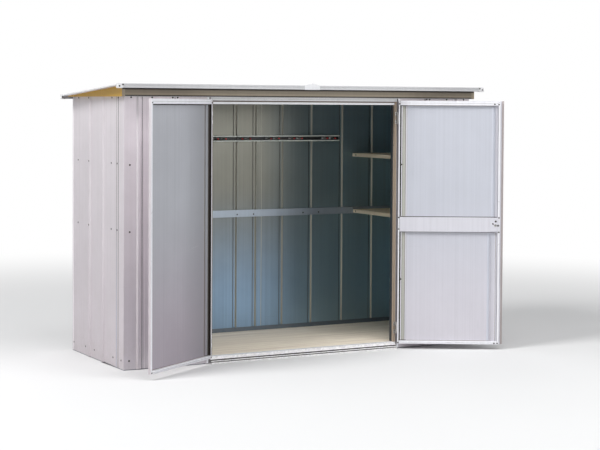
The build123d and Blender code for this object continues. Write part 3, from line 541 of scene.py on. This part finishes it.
class Sheet:
    """A node's mesh on its way to a finished piece, with the coat that each face gets."""

    def __init__(self, node, coat, share=1.0, softened=None):
        self.node, self.coats, self.bm = node, [coat], bmesh.new()
        self.bm.from_mesh(frame["nodes"][node].data)
        bmesh.ops.remove_doubles(self.bm, verts=self.bm.verts, dist=2e-5)
        bmesh.ops.dissolve_limit(self.bm, angle_limit=math.radians(0.4), verts=self.bm.verts,
                                 edges=self.bm.edges)
        self.rolled = self.bm.faces.layers.int.new("rolled")
        if softened:
            self.bevel([edge for edge in self.bm.edges if len(edge.link_faces) == 2
                        and edge.calc_face_angle(0.0) > math.radians(28.0)], softened)
        else:
            self.roll_folds(sizes().fold_offset * share, sizes().fold_inner * share)
        self.paint = self.bm.faces.layers.int.new("paint")

    def bevel(self, edges, reach):
        if edges:
            made = bmesh.ops.bevel(self.bm, geom=edges, offset=reach, offset_type="OFFSET", segments=2,
                                   profile=0.5, affect="EDGES", clamp_overlap=True)
            for face in made["faces"]:
                face[self.rolled] = 1

    def roll_folds(self, outer, inner):
        """Rounds the folds of a sheet, narrow ones less, and leaves its cut edges sharp."""
        for convex, reach in ((True, outer), (False, inner)):
            for narrowest, share in ((0.0058, 1.0), (0.0026, 0.42)):
                self.bevel([edge for edge in self.bm.edges if self.is_fold(edge, convex, narrowest)],
                           reach * share)

    def is_fold(self, edge, convex, narrowest):
        faces, size = edge.link_faces, edge.calc_length()
        if len(faces) != 2 or any(face[self.rolled] for face in faces) or edge.is_convex != convex:
            return False
        if edge.calc_face_angle(0.0) < math.radians(9.0) or size <= 1e-4:
            return False
        return min(face.calc_area() for face in faces) / size >= narrowest

    def number(self, coat):
        if coat not in self.coats:
            self.coats.append(coat)
        return self.coats.index(coat)

    def cut(self, place, normal):
        bmesh.ops.bisect_plane(self.bm, geom=self.bm.verts[:] + self.bm.edges[:] + self.bm.faces[:],
                               dist=1e-6, plane_co=place, plane_no=normal)

    def band(self, coat, point, normal, half, where=None):
        """Cuts a narrow band across the faces and gives it a coat of its own."""
        point, normal, value = Vector(point), Vector(normal).normalized(), self.number(coat)
        for shift in (-half, half):
            self.cut(point + normal * shift, normal)
        for face in self.bm.faces:
            middle = face.calc_center_median()
            if abs((middle - point).dot(normal)) < half and (where is None or where(middle, face)):
                face[self.paint] = value

    def levels(self, rows, where=None):
        """Level bands: coat, height and half width of each."""
        for coat, z, half in rows:
            self.band(coat, (0, 0, z), UP, half, where)

    def uprights(self, side, rows, where=None):
        """Upright bands on a door: coat, distance from the hinge line and half width of each."""
        for coat, place, half in rows:
            self.band(coat, on_door(side, place, 0, 0), door_way(side, 1, 0, 0), half, where)

    def finished(self, ending, plain=None):
        """Makes the piece and sets it on its body; plain names an unpainted face's coat."""
        for face in self.bm.faces:
            face.material_index = face[self.paint] or (self.number(plain(face)) if plain else 0)
            face.smooth = True
        marks = [float(face[self.rolled]) for face in self.bm.faces]
        for edge in self.bm.edges:
            widest = 44.0 if any(face[self.rolled] for face in edge.link_faces) else 10.0
            edge.smooth = len(edge.link_faces) == 2 and edge.calc_face_angle(3.2) < math.radians(widest)
        mesh = bpy.data.meshes.new(self.node + ending)
        self.bm.to_mesh(mesh)
        self.bm.free()
        mesh.attributes.new("fold", "FLOAT", "FACE").data.foreach_set("value", marks)
        for coat in self.coats:
            mesh.materials.append(finish(coat))
        made = linked(self.node + ending, mesh)
        made.modifiers.new("weighted", "WEIGHTED_NORMAL").keep_sharp = True
        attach(made, BODIES[self.node])
        stand_for(self.node)


def grown(rows, tree, name, body, **inputs):
    """Runs a geometry tree on points that each look one way, and keeps its result as a plain mesh."""
    mesh = bpy.data.meshes.new(name + "_points")
    mesh.from_pydata([tuple(place) for place, _ in rows], [], [])
    facing = mesh.attributes.new("facing", "FLOAT_VECTOR", "POINT")
    facing.data.foreach_set("vector", [part for _, way in rows for part in way])
    points = linked(name + "_points", mesh)
    modifier = points.modifiers.new("rows", "NODES")
    modifier.node_group = tree
    for item in tree.interface.items_tree:
        if item.item_type == "SOCKET" and item.in_out == "INPUT" and item.name in inputs:
            modifier[item.identifier] = inputs[item.name]
    bpy.context.view_layer.update()
    mesh = bpy.data.meshes.new_from_object(points.evaluated_get(bpy.context.evaluated_depsgraph_get()))
    if not mesh.polygons:
        raise RuntimeError("empty geometry tree result: " + name)
    mesh.name = name
    bpy.data.objects.remove(points)
    made = linked(name, mesh)
    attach(made, body)
    return made


# ---- geometry trees ---------------------------------------------------------
def geometry_tree(name, inputs, build):
    """Geometry tree made once from its named inputs."""
    if name in bpy.data.node_groups:
        return bpy.data.node_groups[name]
    tree = bpy.data.node_groups.new(name, "GeometryNodeTree")
    tree.is_modifier = True
    for label, kind in {"Geometry": GEOMETRY, **inputs}.items():
        tree.interface.new_socket(label, in_out="INPUT", socket_type=kind)
    tree.interface.new_socket("Geometry", in_out="OUTPUT", socket_type=GEOMETRY)
    g = Graph(tree)
    g.node("NodeGroupOutput", {"Geometry": build(g, g.node("NodeGroupInput").outputs)})
    return tree


def raised(g, geometry, distance):
    return g.first("GeometryNodeTransform", {"Geometry": geometry, "Translation": g.combined(0, 0, distance)})


def joined(g, *parts):
    made = g.node("GeometryNodeJoinGeometry")
    for part in parts:
        g.put(made.inputs[0], part)
    return made.outputs[0]


def spread(g, points, shape, seed=None):
    """The shape on every point, turned to its facing and, with a seed, spun at random about it."""
    way = g.first("GeometryNodeInputNamedAttribute", {"Name": "facing"}, data_type="FLOAT_VECTOR")
    turn = g.first("FunctionNodeAlignRotationToVector", {"Vector": way}, axis="Z")
    if seed is not None:
        spin = g.node("FunctionNodeRandomValue", {3: 2 * math.pi, "Seed": seed}, data_type="FLOAT").outputs[1]
        about = g.first("FunctionNodeAxisAngleToRotation", {"Axis": UP, "Angle": spin})
        turn = g.first("FunctionNodeRotateRotation", {"Rotation": turn, "Rotate By": about},
                       rotation_space="LOCAL")
    copies = g.first("GeometryNodeInstanceOnPoints", {"Points": points, "Instance": shape, "Rotation": turn})
    return g.first("GeometryNodeRealizeInstances", {0: copies})


def coated(g, geometry, material, **selection):
    return g.first("GeometryNodeSetMaterial", {"Geometry": geometry, "Material": material, **selection})


def screw_parts(g, given):
    """Washer, domed head and a cross on every point, dark as painted shade of a cross recess."""
    head, height = given["Head"], given["Height"]
    washer_share, dome_share = 0.35, 0.65
    lower_step, upper_step = 0.55, 0.45
    thin = g.times(height, washer_share)
    washer = g.first("GeometryNodeMeshCylinder", {"Vertices": 14, "Radius": given["Washer"], "Depth": thin},
                     fill_type="NGON")
    dome = [g.first("GeometryNodeMeshCone", {
        "Vertices": 12, "Radius Top": g.times(head, top), "Radius Bottom": g.times(head, bottom),
        "Depth": g.times(height, step * dome_share)}, fill_type="NGON")
        for step, top, bottom in ((lower_step, 0.86, 1.0), (upper_step, 0.45, 0.86))]
    long_side, short_side, depth = g.times(head, 0.80), g.times(head, 0.16), g.times(height, 0.10)
    bars = [g.first("GeometryNodeMeshCube", {"Size": g.combined(x, y, depth)})
            for x, y in ((long_side, short_side), (short_side, long_side))]
    marked = g.first("GeometryNodeStoreNamedAttribute", {
        "Geometry": raised(g, joined(g, *bars), g.times(height, 0.99)), "Name": "recess", "Value": 1.0},
        data_type="FLOAT", domain="FACE")
    whole = joined(g, raised(g, washer, g.times(thin, 0.5)), raised(g, dome[0], thin),
                   raised(g, dome[1], g.times(height, washer_share + lower_step * dome_share)), marked)
    metal = coated(g, spread(g, given["Geometry"], whole, given["Seed"]), given["Metal"])
    is_cross = g.first("GeometryNodeInputNamedAttribute", {"Name": "recess"}, data_type="FLOAT")
    chosen = g.first("FunctionNodeCompare", {0: is_cross, 1: 0.5}, data_type="FLOAT",
                     operation="GREATER_THAN")
    return coated(g, metal, given["Recess"], Selection=chosen)


def peg_parts(g, given):
    """A round peg with a domed end on every point, on a small plate where asked for."""
    radius = given["Radius"]
    straight = g.math("SUBTRACT", given["Length"], radius)
    rod = g.first("GeometryNodeMeshCylinder", {"Vertices": 10, "Radius": radius, "Depth": straight},
                  fill_type="NGON")
    tip = g.first("GeometryNodeMeshUVSphere", {"Segments": 10, "Rings": 5, "Radius": radius})
    plate = raised(g, g.first("GeometryNodeMeshCube", {"Size": given["Plate"]}),
                   g.times(g.upward(given["Plate"]), 0.5))
    option = g.first("GeometryNodeSwitch", {"Switch": given["With Plate"], "True": plate},
                     input_type="GEOMETRY")
    whole = joined(g, raised(g, rod, g.times(straight, 0.5)), raised(g, tip, straight), option)
    smooth = g.first("GeometryNodeSetShadeSmooth", {"Geometry": whole})
    return coated(g, spread(g, given["Geometry"], smooth), given["Finish"])


def screw_tree():
    return geometry_tree("screw_rows", {
        "Head": FLOAT, "Washer": FLOAT, "Height": FLOAT, "Seed": "NodeSocketInt",
        "Metal": "NodeSocketMaterial", "Recess": "NodeSocketMaterial"}, screw_parts)


def peg_tree():
    return geometry_tree("peg_rows", {
        "Radius": FLOAT, "Length": FLOAT, "Plate": VEC, "With Plate": "NodeSocketBool",
        "Finish": "NodeSocketMaterial"}, peg_parts)


# ---- operators --------------------------------------------------------------
HALF_W, HALF_D = high("side_panel_right")[0] - 0.009, high("back_panel_left")[1] - 0.009


def looks_out(face):
    """Whether a wall face looks away from the room."""
    middle, normal = face.calc_center_median(), face.normal

    def reach(p):
        return max(abs(p.x) - HALF_W, abs(p.y) - HALF_D)
    return reach(middle + normal * 0.004) > reach(middle) + 0.0004


class SHED_OT_wall_sheets(bpy.types.Operator):
    """Roll-formed wall sheets with rounded ribs, enamel outside and a reverse coat inside"""
    bl_idname = "shed.wall_sheets"
    bl_label = "Wall sheets"

    def execute(self, context):
        for node in WALLS:
            sheet = Sheet(node, "wall_white")
            self.mark(sheet, node)
            sheet.finished("_rolled", lambda face: self.plain(face, node))
        return {"FINISHED"}

    def mark(self, sheet, node):
        """Laps, creases and edges that show as thin lines outside: painted shade in seams and creases,
        painted highlights on the rear corner's edge and along the doorway's edge.
        """
        def ahead(middle, face):
            return face.normal.y < -0.3

        def aside(middle, face):
            return abs(face.normal.x) > 0.5 and looks_out(face)
        sign = sign_of(node)
        if node.startswith("corner_front"):
            # painted shade in the seam and the lap
            sheet.band("wall_seam", (sign * 1.1170, 0, 0), ACROSS, 0.0030, ahead)
            sheet.band("wall_seam", (0, -0.3515, 0), BEHIND, 0.0045, aside)
        if node.startswith("side_panel"):
            # painted shade in the side panels' creases
            for y in (0.152, -0.073):
                sheet.band("wall_crease", (0, y, 0), BEHIND, 0.0024, aside)
        if node == "corner_rear_pair":
            # painted highlight on the rear corner's edge
            sheet.band("wall_edge", (0, 0.4250, 0), BEHIND, 0.0060, aside)
        if node.startswith("front_panel"):
            # painted shade in the seam and a painted highlight along the doorway's lit edge
            sheet.band("wall_seam", (sign * 0.6738, 0, 0), ACROSS, 0.0042, ahead)
            sheet.band("door_lip", (sign * 0.6845, 0, 0), ACROSS, 0.0062, ahead)

    def plain(self, face, node):
        # faces that look out get lit and shaded copies of the enamel by their facing: painted light and
        # painted shade
        if looks_out(face):
            if face.normal.y > -0.3 or face.normal.x < -0.2:
                return "wall_white"
            return "wall_edge" if face.normal.x > 0.2 else "wall_front"
        # the back ribs' flanks inside: a painted highlight on one side, painted shade on the other
        if node.startswith("back") and abs(face.normal.x) > 0.2:
            return "rib_light" if face.normal.x < 0 else "rib_dark"
        return "wall_inside"


class SHED_OT_door_pans(bpy.types.Operator):
    """Door pans with rounded edges and pressed swages, enamel outside and a reverse coat inside"""
    bl_idname = "shed.door_pans"
    bl_label = "Door pans"

    def execute(self, context):
        for node in PANS:
            side = side_of(node)
            sheet = Sheet(node, "wall_white")
            self.mark_shade(sheet, side)
            self.mark_mitres(sheet, side)
            if side == "left":
                self.mark_scratch(sheet)
            sheet.finished("_rolled", lambda face: self.plain(face, side))
        return {"FINISHED"}

    def mark_shade(self, sheet, side):
        """Painted shade where the skin meets rails and stile and in the slot beside the hinge lip, and
        painted light on the skin beside the braces' steps.
        """
        inward = door_way(side, 0, 1, 0)

        def skin(middle, face):
            return face.normal.dot(inward) > 0.5 and in_door(side, middle).y < BETWEEN

        def slot(middle, face):
            return in_door(side, middle).y < 0.0066
        foot = ("seam_brown", PAN_FOOT + 0.0014, 0.0014)
        joints = {"left": (("slot_dark", PAN_TOP - 0.0034, 0.0034), foot),
                  "right": (("seam_brown", PAN_TOP - 0.0017, 0.0017), foot,
                            ("slot_dark", RAIL_TOP + 0.0024, 0.0024),
                            ("slot_dark", RAIL_FOOT - 0.0020, 0.0020))}
        sheet.levels(joints[side], skin)
        sheet.uprights(side, (("slot_dark", 0.0135, 0.0078),), slot)
        if side == "left":
            sheet.uprights(side, (("seam_brown", 0.0645, 0.0030),), skin)
        else:
            sheet.uprights(side, (("seam_brown", 0.0614, 0.0007),), skin)
            sheet.uprights(side, (("slot_dark", 0.0148, 0.0010),))
            # painted light on the skin beside the braces' steps, against their shadow
            for place, bottom, top in ((0.5945, 0.06, 0.764), (0.6190, 0.869, 1.585)):
                sheet.uprights(side, (("door_light", place, 0.0075),),
                               lambda m, f: skin(m, f) and bottom < m.z < top)
        sheet.levels((("slot_dark", PAN_FOOT + 0.0026, 0.0026), ("slot_dark", PAN_TOP - 0.0026, 0.0026)),
                     lambda m, f: skin(m, f) and in_door(side, m).x < 0.061)

    def mark_scratch(self, sheet):
        """Long shallow scratch across the left door's skin and the nick near its hinge."""
        inward = door_way("left", 0, 1, 0)
        for first, last, half in (((0.135, 0.737), (0.440, 0.686), 0.0008),
                                  ((0.068, 0.820), (0.071, 0.8545), 0.0012)):
            start, end = (on_door("left", along, SKIN, z) for along, z in (first, last))
            for place in (start, end):
                sheet.cut(place, (end - start).normalized())
            reach, middle = (end - start).length / 2 + 1e-5, (start + end) / 2
            sheet.band("crease", middle, (end - start).cross(inward), half,
                       lambda m, f: f.normal.dot(inward) > 0.5 and (m - middle).length < reach
                       and in_door("left", m).y < BETWEEN)

    def mark_mitres(self, sheet, side):
        """Mitred corners of the lips, drawn as thin lines of painted shade."""
        inward = door_way(side, 0, 1, 0)

        def lip(middle, face):
            return face.normal.dot(inward) > 0.5 and in_door(side, middle).y > BETWEEN
        for along, z, slope in ((0.665, 1.621, 1), (0.665, 0.035, -1), (0.0055, 1.621, -1),
                                (0.0055, 0.035, 1)):
            sheet.band("crease", on_door(side, along, LIP, z), door_way(side, -slope, 0, 1), 0.0006, lip)

    def plain(self, face, side):
        if face.normal.dot(door_way(side, 0, 1, 0)) < 0.2:
            return "wall_white"
        is_lip = in_door(side, face.calc_center_median()).y > BETWEEN
        return "door_lip" if is_lip else "door_%s_inside" % side


class SHED_OT_folded_frames(bpy.types.Operator):
    """Jambs, header, threshold, rails, shelves, fascias, gables, roof sheets, trims and door rails"""
    bl_idname = "shed.folded_frames"
    bl_label = "Folded frames"

    def execute(self, context):
        for node in FRAMES:
            sheet = Sheet(node, FRAME_COATS.get(node, SLOTS[node]), 0.8)
            self.mark(sheet, node)
            sheet.finished("_rolled")
        return {"FINISHED"}

    def mark(self, sheet, node):
        """Paints the creases, recesses and shaded joints of a node: painted shade in them, and painted light
        on bands of the fascias and jambs.
        """
        side, sign = side_of(node), sign_of(node)
        inward = door_way(side, 0, 1, 0)

        def front(middle, face):
            return face.normal.y < -0.5 and middle.y < 0
        if node == "door_header":
            sheet.levels((("seam_brown", 1.6095, 0.0042), ("crease", 1.6238, 0.0008)))
        elif node == "tool_rail":
            lip = low(node)[1] + 0.003
            for face in sheet.bm.faces:
                if face.calc_center_median().y < lip:
                    face[sheet.paint] = sheet.number("rail_lip")
        elif node == "door_sill":
            # painted shade in the threshold's grooves
            sheet.levels((("slot_dark", 0.0218, 0.0026), ("slot_dark", 0.0104, 0.0020)),
                         lambda m, f: m.y < -0.4402)
        elif node == "fascias":
            # painted shadow under the trim, painted light brightening down the fascia, a line of painted
            # shade near its foot and a lit line at the foot
            sheet.levels((("slot_dark", 1.6890, 0.0122), ("fascia_light", 1.6640, 0.0075),
                          ("fascia_hem", 1.6500, 0.0065), ("slot_dark", 1.6398, 0.0037),
                          ("header_white", 1.6350, 0.0011)), front)
            for x in (-1.2480, 1.2480):
                sheet.band("fascia_end", (x, 0, 0), ACROSS, 0.0100, lambda m, f: front(m, f) and m.z < 1.680)
        elif node == "roof_trim_front":
            sheet.levels((("crease", (low(node)[2] + high(node)[2]) / 2, 0.0013),), front)
        elif node.startswith("door_jamb"):
            # painted shade in the joint beside the door, painted light on the front of the inner return,
            # painted shade over the rest of it
            sheet.band("seam_brown", (sign * 0.6537, 0, 0), ACROSS, 0.0022, lambda m, f: f.normal.y < -0.5)
            for coat, y, half in (("jamb_light", -0.4282, 0.0093), ("jamb_shade", -0.4040, 0.0130)):
                sheet.band(coat, (0, y, 0), BEHIND, half, lambda m, f: -sign * f.normal.x > 0.5)
        elif node.endswith("end_rails") or node.endswith("mid_rail"):
            sheet.levels((("crease", 1.6060, 0.0010), ("crease", 0.0450, 0.0008)),
                         lambda m, f: f.normal.dot(inward) > 0.5)
        elif node == "door_left_stile":
            # painted shade in the slot and in the stile's valley
            sheet.uprights(side, (("slot_dark", 0.0255, 0.0052), ("stile_shade", 0.0352, 0.0045)))
        elif node == "door_right_stiles":
            self.mark_right_stiles(sheet, side, inward)

    def mark_right_stiles(self, sheet, side, inward):
        """Steps of the hinge stile, the meeting strip, and the free-edge braces' shades: painted shade in the
        slot, joints and meeting strip, and painted highlight and shade lines at the braces' edges.
        """
        def shown(middle, face):
            return face.normal.dot(inward) > 0.3
        sheet.uprights(side, (("slot_dark", 0.0222, 0.0014), ("door_lip", 0.0268, 0.0032),
                              ("seam_brown", 0.0313, 0.0013), ("stile_grey", 0.0410, 0.0088),
                              ("seam_brown", 0.0512, 0.0013)), shown)
        sheet.uprights(side, (("strip_grey", 0.6826, 0.0070),))
        # below the middle rail the brace's outer part takes the skin's coat, with a painted highlight line
        # and a painted shade line at its new edge
        sheet.uprights(side, (("door_right_inside", 0.6195, 0.0180), ("door_lip", 0.6385, 0.0010),
                              ("seam_brown", 0.6408, 0.0013)), lambda m, f: m.z < 0.769)
        sheet.uprights(side, (("door_right_inside", 0.6300, 0.0042),),
                       lambda m, f: m.z > 0.862 and in_door(side, m).x > 0.6)
        # painted shade lines above and below the middle rail
        for z, half, end in ((0.8654, 0.0024, 0.649), (0.7660, 0.0020, 0.6375)):
            sheet.levels((("slot_dark", z, half),),
                         lambda m, f: shown(m, f) and 0.6 < in_door(side, m).x < end)


class SHED_OT_fittings(bpy.types.Operator):
    """Roof caps, splice, latch, pull and hinges with softened edges"""
    bl_idname = "shed.fittings"
    bl_label = "Fittings"

    def execute(self, context):
        for node, reach in FITTINGS.items():
            coat = "door_brace" if node == "door_right_latch" else SLOTS[node]
            Sheet(node, coat, softened=reach / 1000).finished("_soft")
        return {"FINISHED"}


class SHED_OT_floor_and_joists(bpy.types.Operator):
    """Plywood deck and sawn joists with eased edges"""
    bl_idname = "shed.floor_and_joists"
    bl_label = "Floor and joists"

    def execute(self, context):
        for node, reach in (("floor_deck", 0.0012), ("floor_joists", 0.0015)):
            Sheet(node, SLOTS[node], softened=reach).finished("_eased")
        return {"FINISHED"}


class SHED_OT_tool_hooks(bpy.types.Operator):
    """Round hook prongs on their plates, with soft tips"""
    bl_idname = "shed.tool_hooks"
    bl_label = "Tool hooks"

    def execute(self, context):
        prongs = []
        for x in sorted({round(v.co.x, 4) for v in frame["nodes"]["tool_hook_caps"].data.vertices}):
            if prongs and x - prongs[-1][1] < 0.012:
                prongs[-1][1] = x
            else:
                prongs.append([x, x])
        z = (low("tool_hooks")[2] + high("tool_hooks")[2]) / 2
        for node, name, thicker, plated, coat in (
                ("tool_hooks", "tool_hook_prongs", 0.0, True, "hook_steel"),
                ("tool_hook_caps", "tool_hook_tips", 0.0018, False, "cap_red")):
            front, back = low(node)[1], high(node)[1]
            rows = [(((left + right) / 2, back, z), AHEAD) for left, right in prongs]
            made = grown(rows, peg_tree(), name, BODIES[node], Radius=sizes().peg_radius + thicker,
                         Length=back - front, Plate=(0.031, 0.016, 0.003), **{"With Plate": plated},
                         Finish=finish(coat))
            stand_for(node)
        return {"FINISHED"}


class SHED_OT_screws(bpy.types.Operator):
    """Sheet screws of walls, fittings and doors, true to scale"""
    bl_idname = "shed.screws"
    bl_label = "Screws"

    def execute(self, context):
        self.set_rows("shed_screws", "shed", self.wall_rows(), 1.0)
        self.set_rows("brace_screws", "shed", self.inside_rows(), 0.9)
        self.set_rows("cap_screws", "shed", self.roof_rows(), 0.85)
        for side in ("left", "right"):
            self.set_rows("door_%s_screws" % side, "door_" + side, self.door_rows(side), 0.85)
        self.set_rows("hinge_screws", "shed", self.hinge_rows(), 0.55)
        plate = 0.011
        self.set_rows("latch_screws", "door_right", self.on_face("right", (
            (0.6395, plate, 0.8385), (0.6230, plate, 0.8240), (0.6550, plate, 0.8115))), 1.15)
        self.set_rows("latch_bolt", "door_right", self.on_face("right", ((0.6385, plate, 0.8150),)), 1.9,
                      "bolt_grey")
        return {"FINISHED"}

    def set_rows(self, name, body, rows, scale, metal="screw_zinc"):
        size = sizes()
        made = grown(rows, screw_tree(), name, body, Head=size.screw_head * scale,
                     Washer=size.screw_washer * scale, Height=size.screw_height * scale,
                     Seed=size.screw_seed, Metal=finish(metal), Recess=finish("screw_recess"))

    def wall_rows(self):
        """Screws of the walls' outside, each moved along its axis onto the outermost sheet there."""
        rows = []
        top = high("side_panel_right")[2] - 0.0068
        for sign in (-1, 1):
            out, side, front = (sign, 0, 0), sign * HALF_W, -HALF_D
            rows += [((side, y, top), out) for y in (0.328, 0.126, -0.079, -0.246, -0.348)]
            for z in SHELF_ROWS:
                rows += [((side, y, z), out) for y in (0.336, 0.122, -0.237, -0.333)]
                rows.append(((sign * 1.1975, front, z - 0.005), AHEAD))
            rows += [((side, y, FOOT_ROW), out) for y in (-0.40, -0.27, -0.0825, 0.045, 0.20, 0.41)]
            rows += [((sign * x, front, top + 0.0028), AHEAD) for x in (0.893, 0.921, 1.055, 1.190)]
            rows += [((sign * x, front, FOOT_ROW), AHEAD) for x in (0.72, 0.84, 0.95, 1.06, 1.20)]
        for x in RIBS:
            rows += [((x + RIB_HALF, HALF_D, z), BEHIND) for z in (top, FOOT_ROW)]
            if abs(x) in (0.509, 1.0):
                rows += [((x + dx, HALF_D, BRACE_ROW), BEHIND) for dx in (-RIB_HALF, RIB_HALF)]
        bm = bmesh.new()
        for node in WALLS:
            bm.from_mesh(frame["nodes"][node].data)
        sheets = BVHTree.FromBMesh(bm)
        bm.free()
        seated = []
        for place, out in rows:
            hit = sheets.ray_cast(Vector(place) + Vector(out) * 0.03, -Vector(out), 0.05)[0]
            seated.append((tuple(hit) if hit else place, out))
        return seated

    def inside_rows(self):
        brace, rail = low("mid_brace_rear")[1], high("tool_rail")[1] - 0.0015
        rows = [((x + dx, brace, BRACE_ROW), AHEAD) for x in (-1.0, -0.509, 0.0, 0.509, 1.0)
                for dx in (-RIB_HALF, RIB_HALF)]
        rows += [((0.1205 + 0.1857 * k, rail, 1.3485), AHEAD) for k in range(-4, 4)]
        for edge, out in ((low("shelves_right")[0], (-1, 0, 0)), (high("shelves_left")[0], (1, 0, 0))):
            rows += [((edge, y, z), out) for z in (0.842, 1.239) for y in (-0.40, 0.39)]
        return rows

    def roof_rows(self):
        face = low("roof_corner_caps")[1]
        return [((sign * x, face, z), AHEAD) for sign in (-1, 1)
                for x, z in ((1.2710, 1.7040), (1.2925, 1.6955))]

    def door_rows(self, side):
        rail, band = 0.0078, -0.0048
        rows = [(0.6540, LIP, 1.5985), (0.6560, LIP, 0.0425), (0.0105, LIP, 1.6), (0.0105, LIP, 0.0425)]
        if side == "right":
            rows += [(0.6270, rail, 1.600), (0.6355, rail, 0.0425), (0.0100, LIP, 0.860),
                     (0.0100, LIP, 0.785), (0.0255, band, 1.2045), (0.0255, band, 0.4560),
                     (0.6600, 0.0095, 0.8620), (0.6600, 0.0095, 0.7680)]
        else:
            rows += [(0.3230, SKIN, 1.5860), (0.2960, SKIN, 1.5860)]
        return self.on_face(side, rows)

    def on_face(self, side, rows):
        return [(on_door(side, *row), door_way(side, 0, 1, 0)) for row in rows]

    def hinge_rows(self):
        rows, face = [], -HALF_D - 0.0012
        for sign in (-1, 1):
            rows += [((sign * (HINGE_X - 0.0075), face, middle + dz), AHEAD)
                     for middle in (0.138, 1.508) for dz in (-0.030, -0.018, 0.018, 0.030)]
            rows.append(((sign * 0.652, face + 0.014, 1.33), (-sign, 0, 0)))
        return rows


class SHED_OT_stage(bpy.types.Operator):
    """Plain pale floor, soft lights and the camera at the photograph's angle"""
    bl_idname = "shed.stage"
    bl_label = "Stage"

    def execute(self, context):
        scene = context.scene
        scene.view_settings.view_transform = "Standard"
        reach = 60
        mesh = bpy.data.meshes.new("stage_floor")
        mesh.from_pydata([(-reach, -reach, 0), (reach, -reach, 0), (reach, reach, 0), (-reach, reach, 0)],
                         [], [(0, 1, 2, 3)])
        mesh.materials.append(self.floor_material())
        linked("stage_floor", mesh)
        self.white_world(scene)
        for name, place, target, size, power in (
                ("key_light", (-5.35, -1.45, 6.9), (0.0, 0.0, 0.8), 2.6, 560.0),
                ("front_light", (0.2, -3.8, 6.6), (0.0, -0.2, 0.4), 4.5, 262.0),
                ("low_light", (2.2, -4.6, 2.3), (-0.1, 0.1, 0.8), 2.2, 42.0),
                ("rear_light", (3.0, 6.5, 5.0), (0.0, 0.0, 1.0), 4.0, 110.0)):
            lamp = bpy.data.lights.new(name, "AREA")
            lamp.size, lamp.energy = size, power
            made = linked(name, lamp)
            made.location = place
            made.rotation_euler = (Vector(target) - Vector(place)).to_track_quat("-Z", "Y").to_euler()
        scene.camera = self.photo_camera()
        return {"FINISHED"}

    def floor_material(self):
        """Pale floor that turns white, for the camera only, away from the shed."""
        made, g, shader, out, where = new_material("stage_floor")
        tone = g.mix(g.noise(where, 0.6, 2.0), tinted(colours().floor, 0.99), tinted(colours().floor, 1.01))
        g.put(shader.inputs["Base Color"], tone)
        shader.inputs["Roughness"].default_value = 0.85
        seen = g.node("ShaderNodeLightPath").outputs["Is Camera Ray"]
        away = g.node("ShaderNodeVectorMath", {0: where}, operation="LENGTH").outputs["Value"]
        far = g.times(g.ramp(away, 2.2, 7.0), seen)
        white = g.first("ShaderNodeEmission", {"Color": (1, 1, 1, 1), "Strength": 1.0})
        g.put(out.inputs[0], g.first("ShaderNodeMixShader", {0: far, 1: shader.outputs[0], 2: white}))
        return made

    def white_world(self, scene):
        world = bpy.data.worlds.new("soft_room")
        world.use_nodes = True
        world.node_tree.nodes.clear()
        g = Graph(world.node_tree)
        path = g.node("ShaderNodeLightPath").outputs
        seen = g.math("MAXIMUM", path["Is Camera Ray"],
                      g.math("MAXIMUM", path["Is Transmission Ray"], path["Is Glossy Ray"]))
        light = g.first("ShaderNodeBackground", {"Color": (0.93, 0.96, 1.0, 1.0), "Strength": 0.26})
        white = g.first("ShaderNodeBackground", {"Color": (1, 1, 1, 1), "Strength": 1.0})
        g.node("ShaderNodeOutputWorld", {0: g.first("ShaderNodeMixShader", {0: seen, 1: light, 2: white})})
        scene.world = world

    def photo_camera(self):
        """Camera fitted to the photograph: its focal length and principal point are in pixels of it."""
        photo_w, photo_h, focal, middle_y = 600.0, 450.0, 1538.585, 153.523
        lens = bpy.data.cameras.new("photo_camera")
        lens.sensor_fit = "HORIZONTAL"
        lens.sensor_width = 36.0
        lens.lens = focal / photo_w * lens.sensor_width
        lens.shift_y = (middle_y - photo_h / 2) / photo_w
        lens.clip_end = 300.0
        made = linked("photo_camera", lens)
        turns = [Matrix.Rotation(math.radians(degrees), 4, axis)
                 for degrees, axis in ((-28.411, "Z"), (90.0 - 1.8217, "X"), (0.3249, "Z"))]
        made.matrix_world = Matrix.Translation((-4.6564, -8.9595, 1.5914)) @ turns[0] @ turns[1] @ turns[2]
        return made


STEPS = (SHED_OT_wall_sheets, SHED_OT_door_pans, SHED_OT_folded_frames, SHED_OT_fittings,
         SHED_OT_floor_and_joists, SHED_OT_tool_hooks, SHED_OT_screws, SHED_OT_stage)


class SHED_PT_panel(bpy.types.Panel):
    """Sizes, colours and the steps that dress the shed"""
    bl_label = "Tool shed"
    bl_idname = "SHED_PT_panel"
    bl_space_type = "VIEW_3D"
    bl_region_type = "UI"
    bl_category = "Tool shed"

    def draw(self, context):
        for values in (context.scene.shed_sizes, context.scene.shed_colours):
            for name in values.bl_rna.properties.keys():
                if name not in ("rna_type", "name"):
                    self.layout.prop(values, name)
        for step in STEPS:
            self.layout.operator(step.bl_idname)


CLASSES = (ShedSizes, ShedColours, *STEPS, SHED_PT_panel)


def register():
    for made in CLASSES:
        bpy.utils.register_class(made)
    bpy.types.Scene.shed_sizes = PointerProperty(type=ShedSizes)
    bpy.types.Scene.shed_colours = PointerProperty(type=ShedColours)


def unregister():
    del bpy.types.Scene.shed_colours
    del bpy.types.Scene.shed_sizes
    for made in reversed(CLASSES):
        bpy.utils.unregister_class(made)


def main():
    register()
    bpy.ops.shed.wall_sheets()
    bpy.ops.shed.door_pans()
    bpy.ops.shed.folded_frames()
    bpy.ops.shed.fittings()
    bpy.ops.shed.floor_and_joists()
    bpy.ops.shed.tool_hooks()
    bpy.ops.shed.screws()
    bpy.ops.shed.stage()


if __name__ == "__main__":
    main()
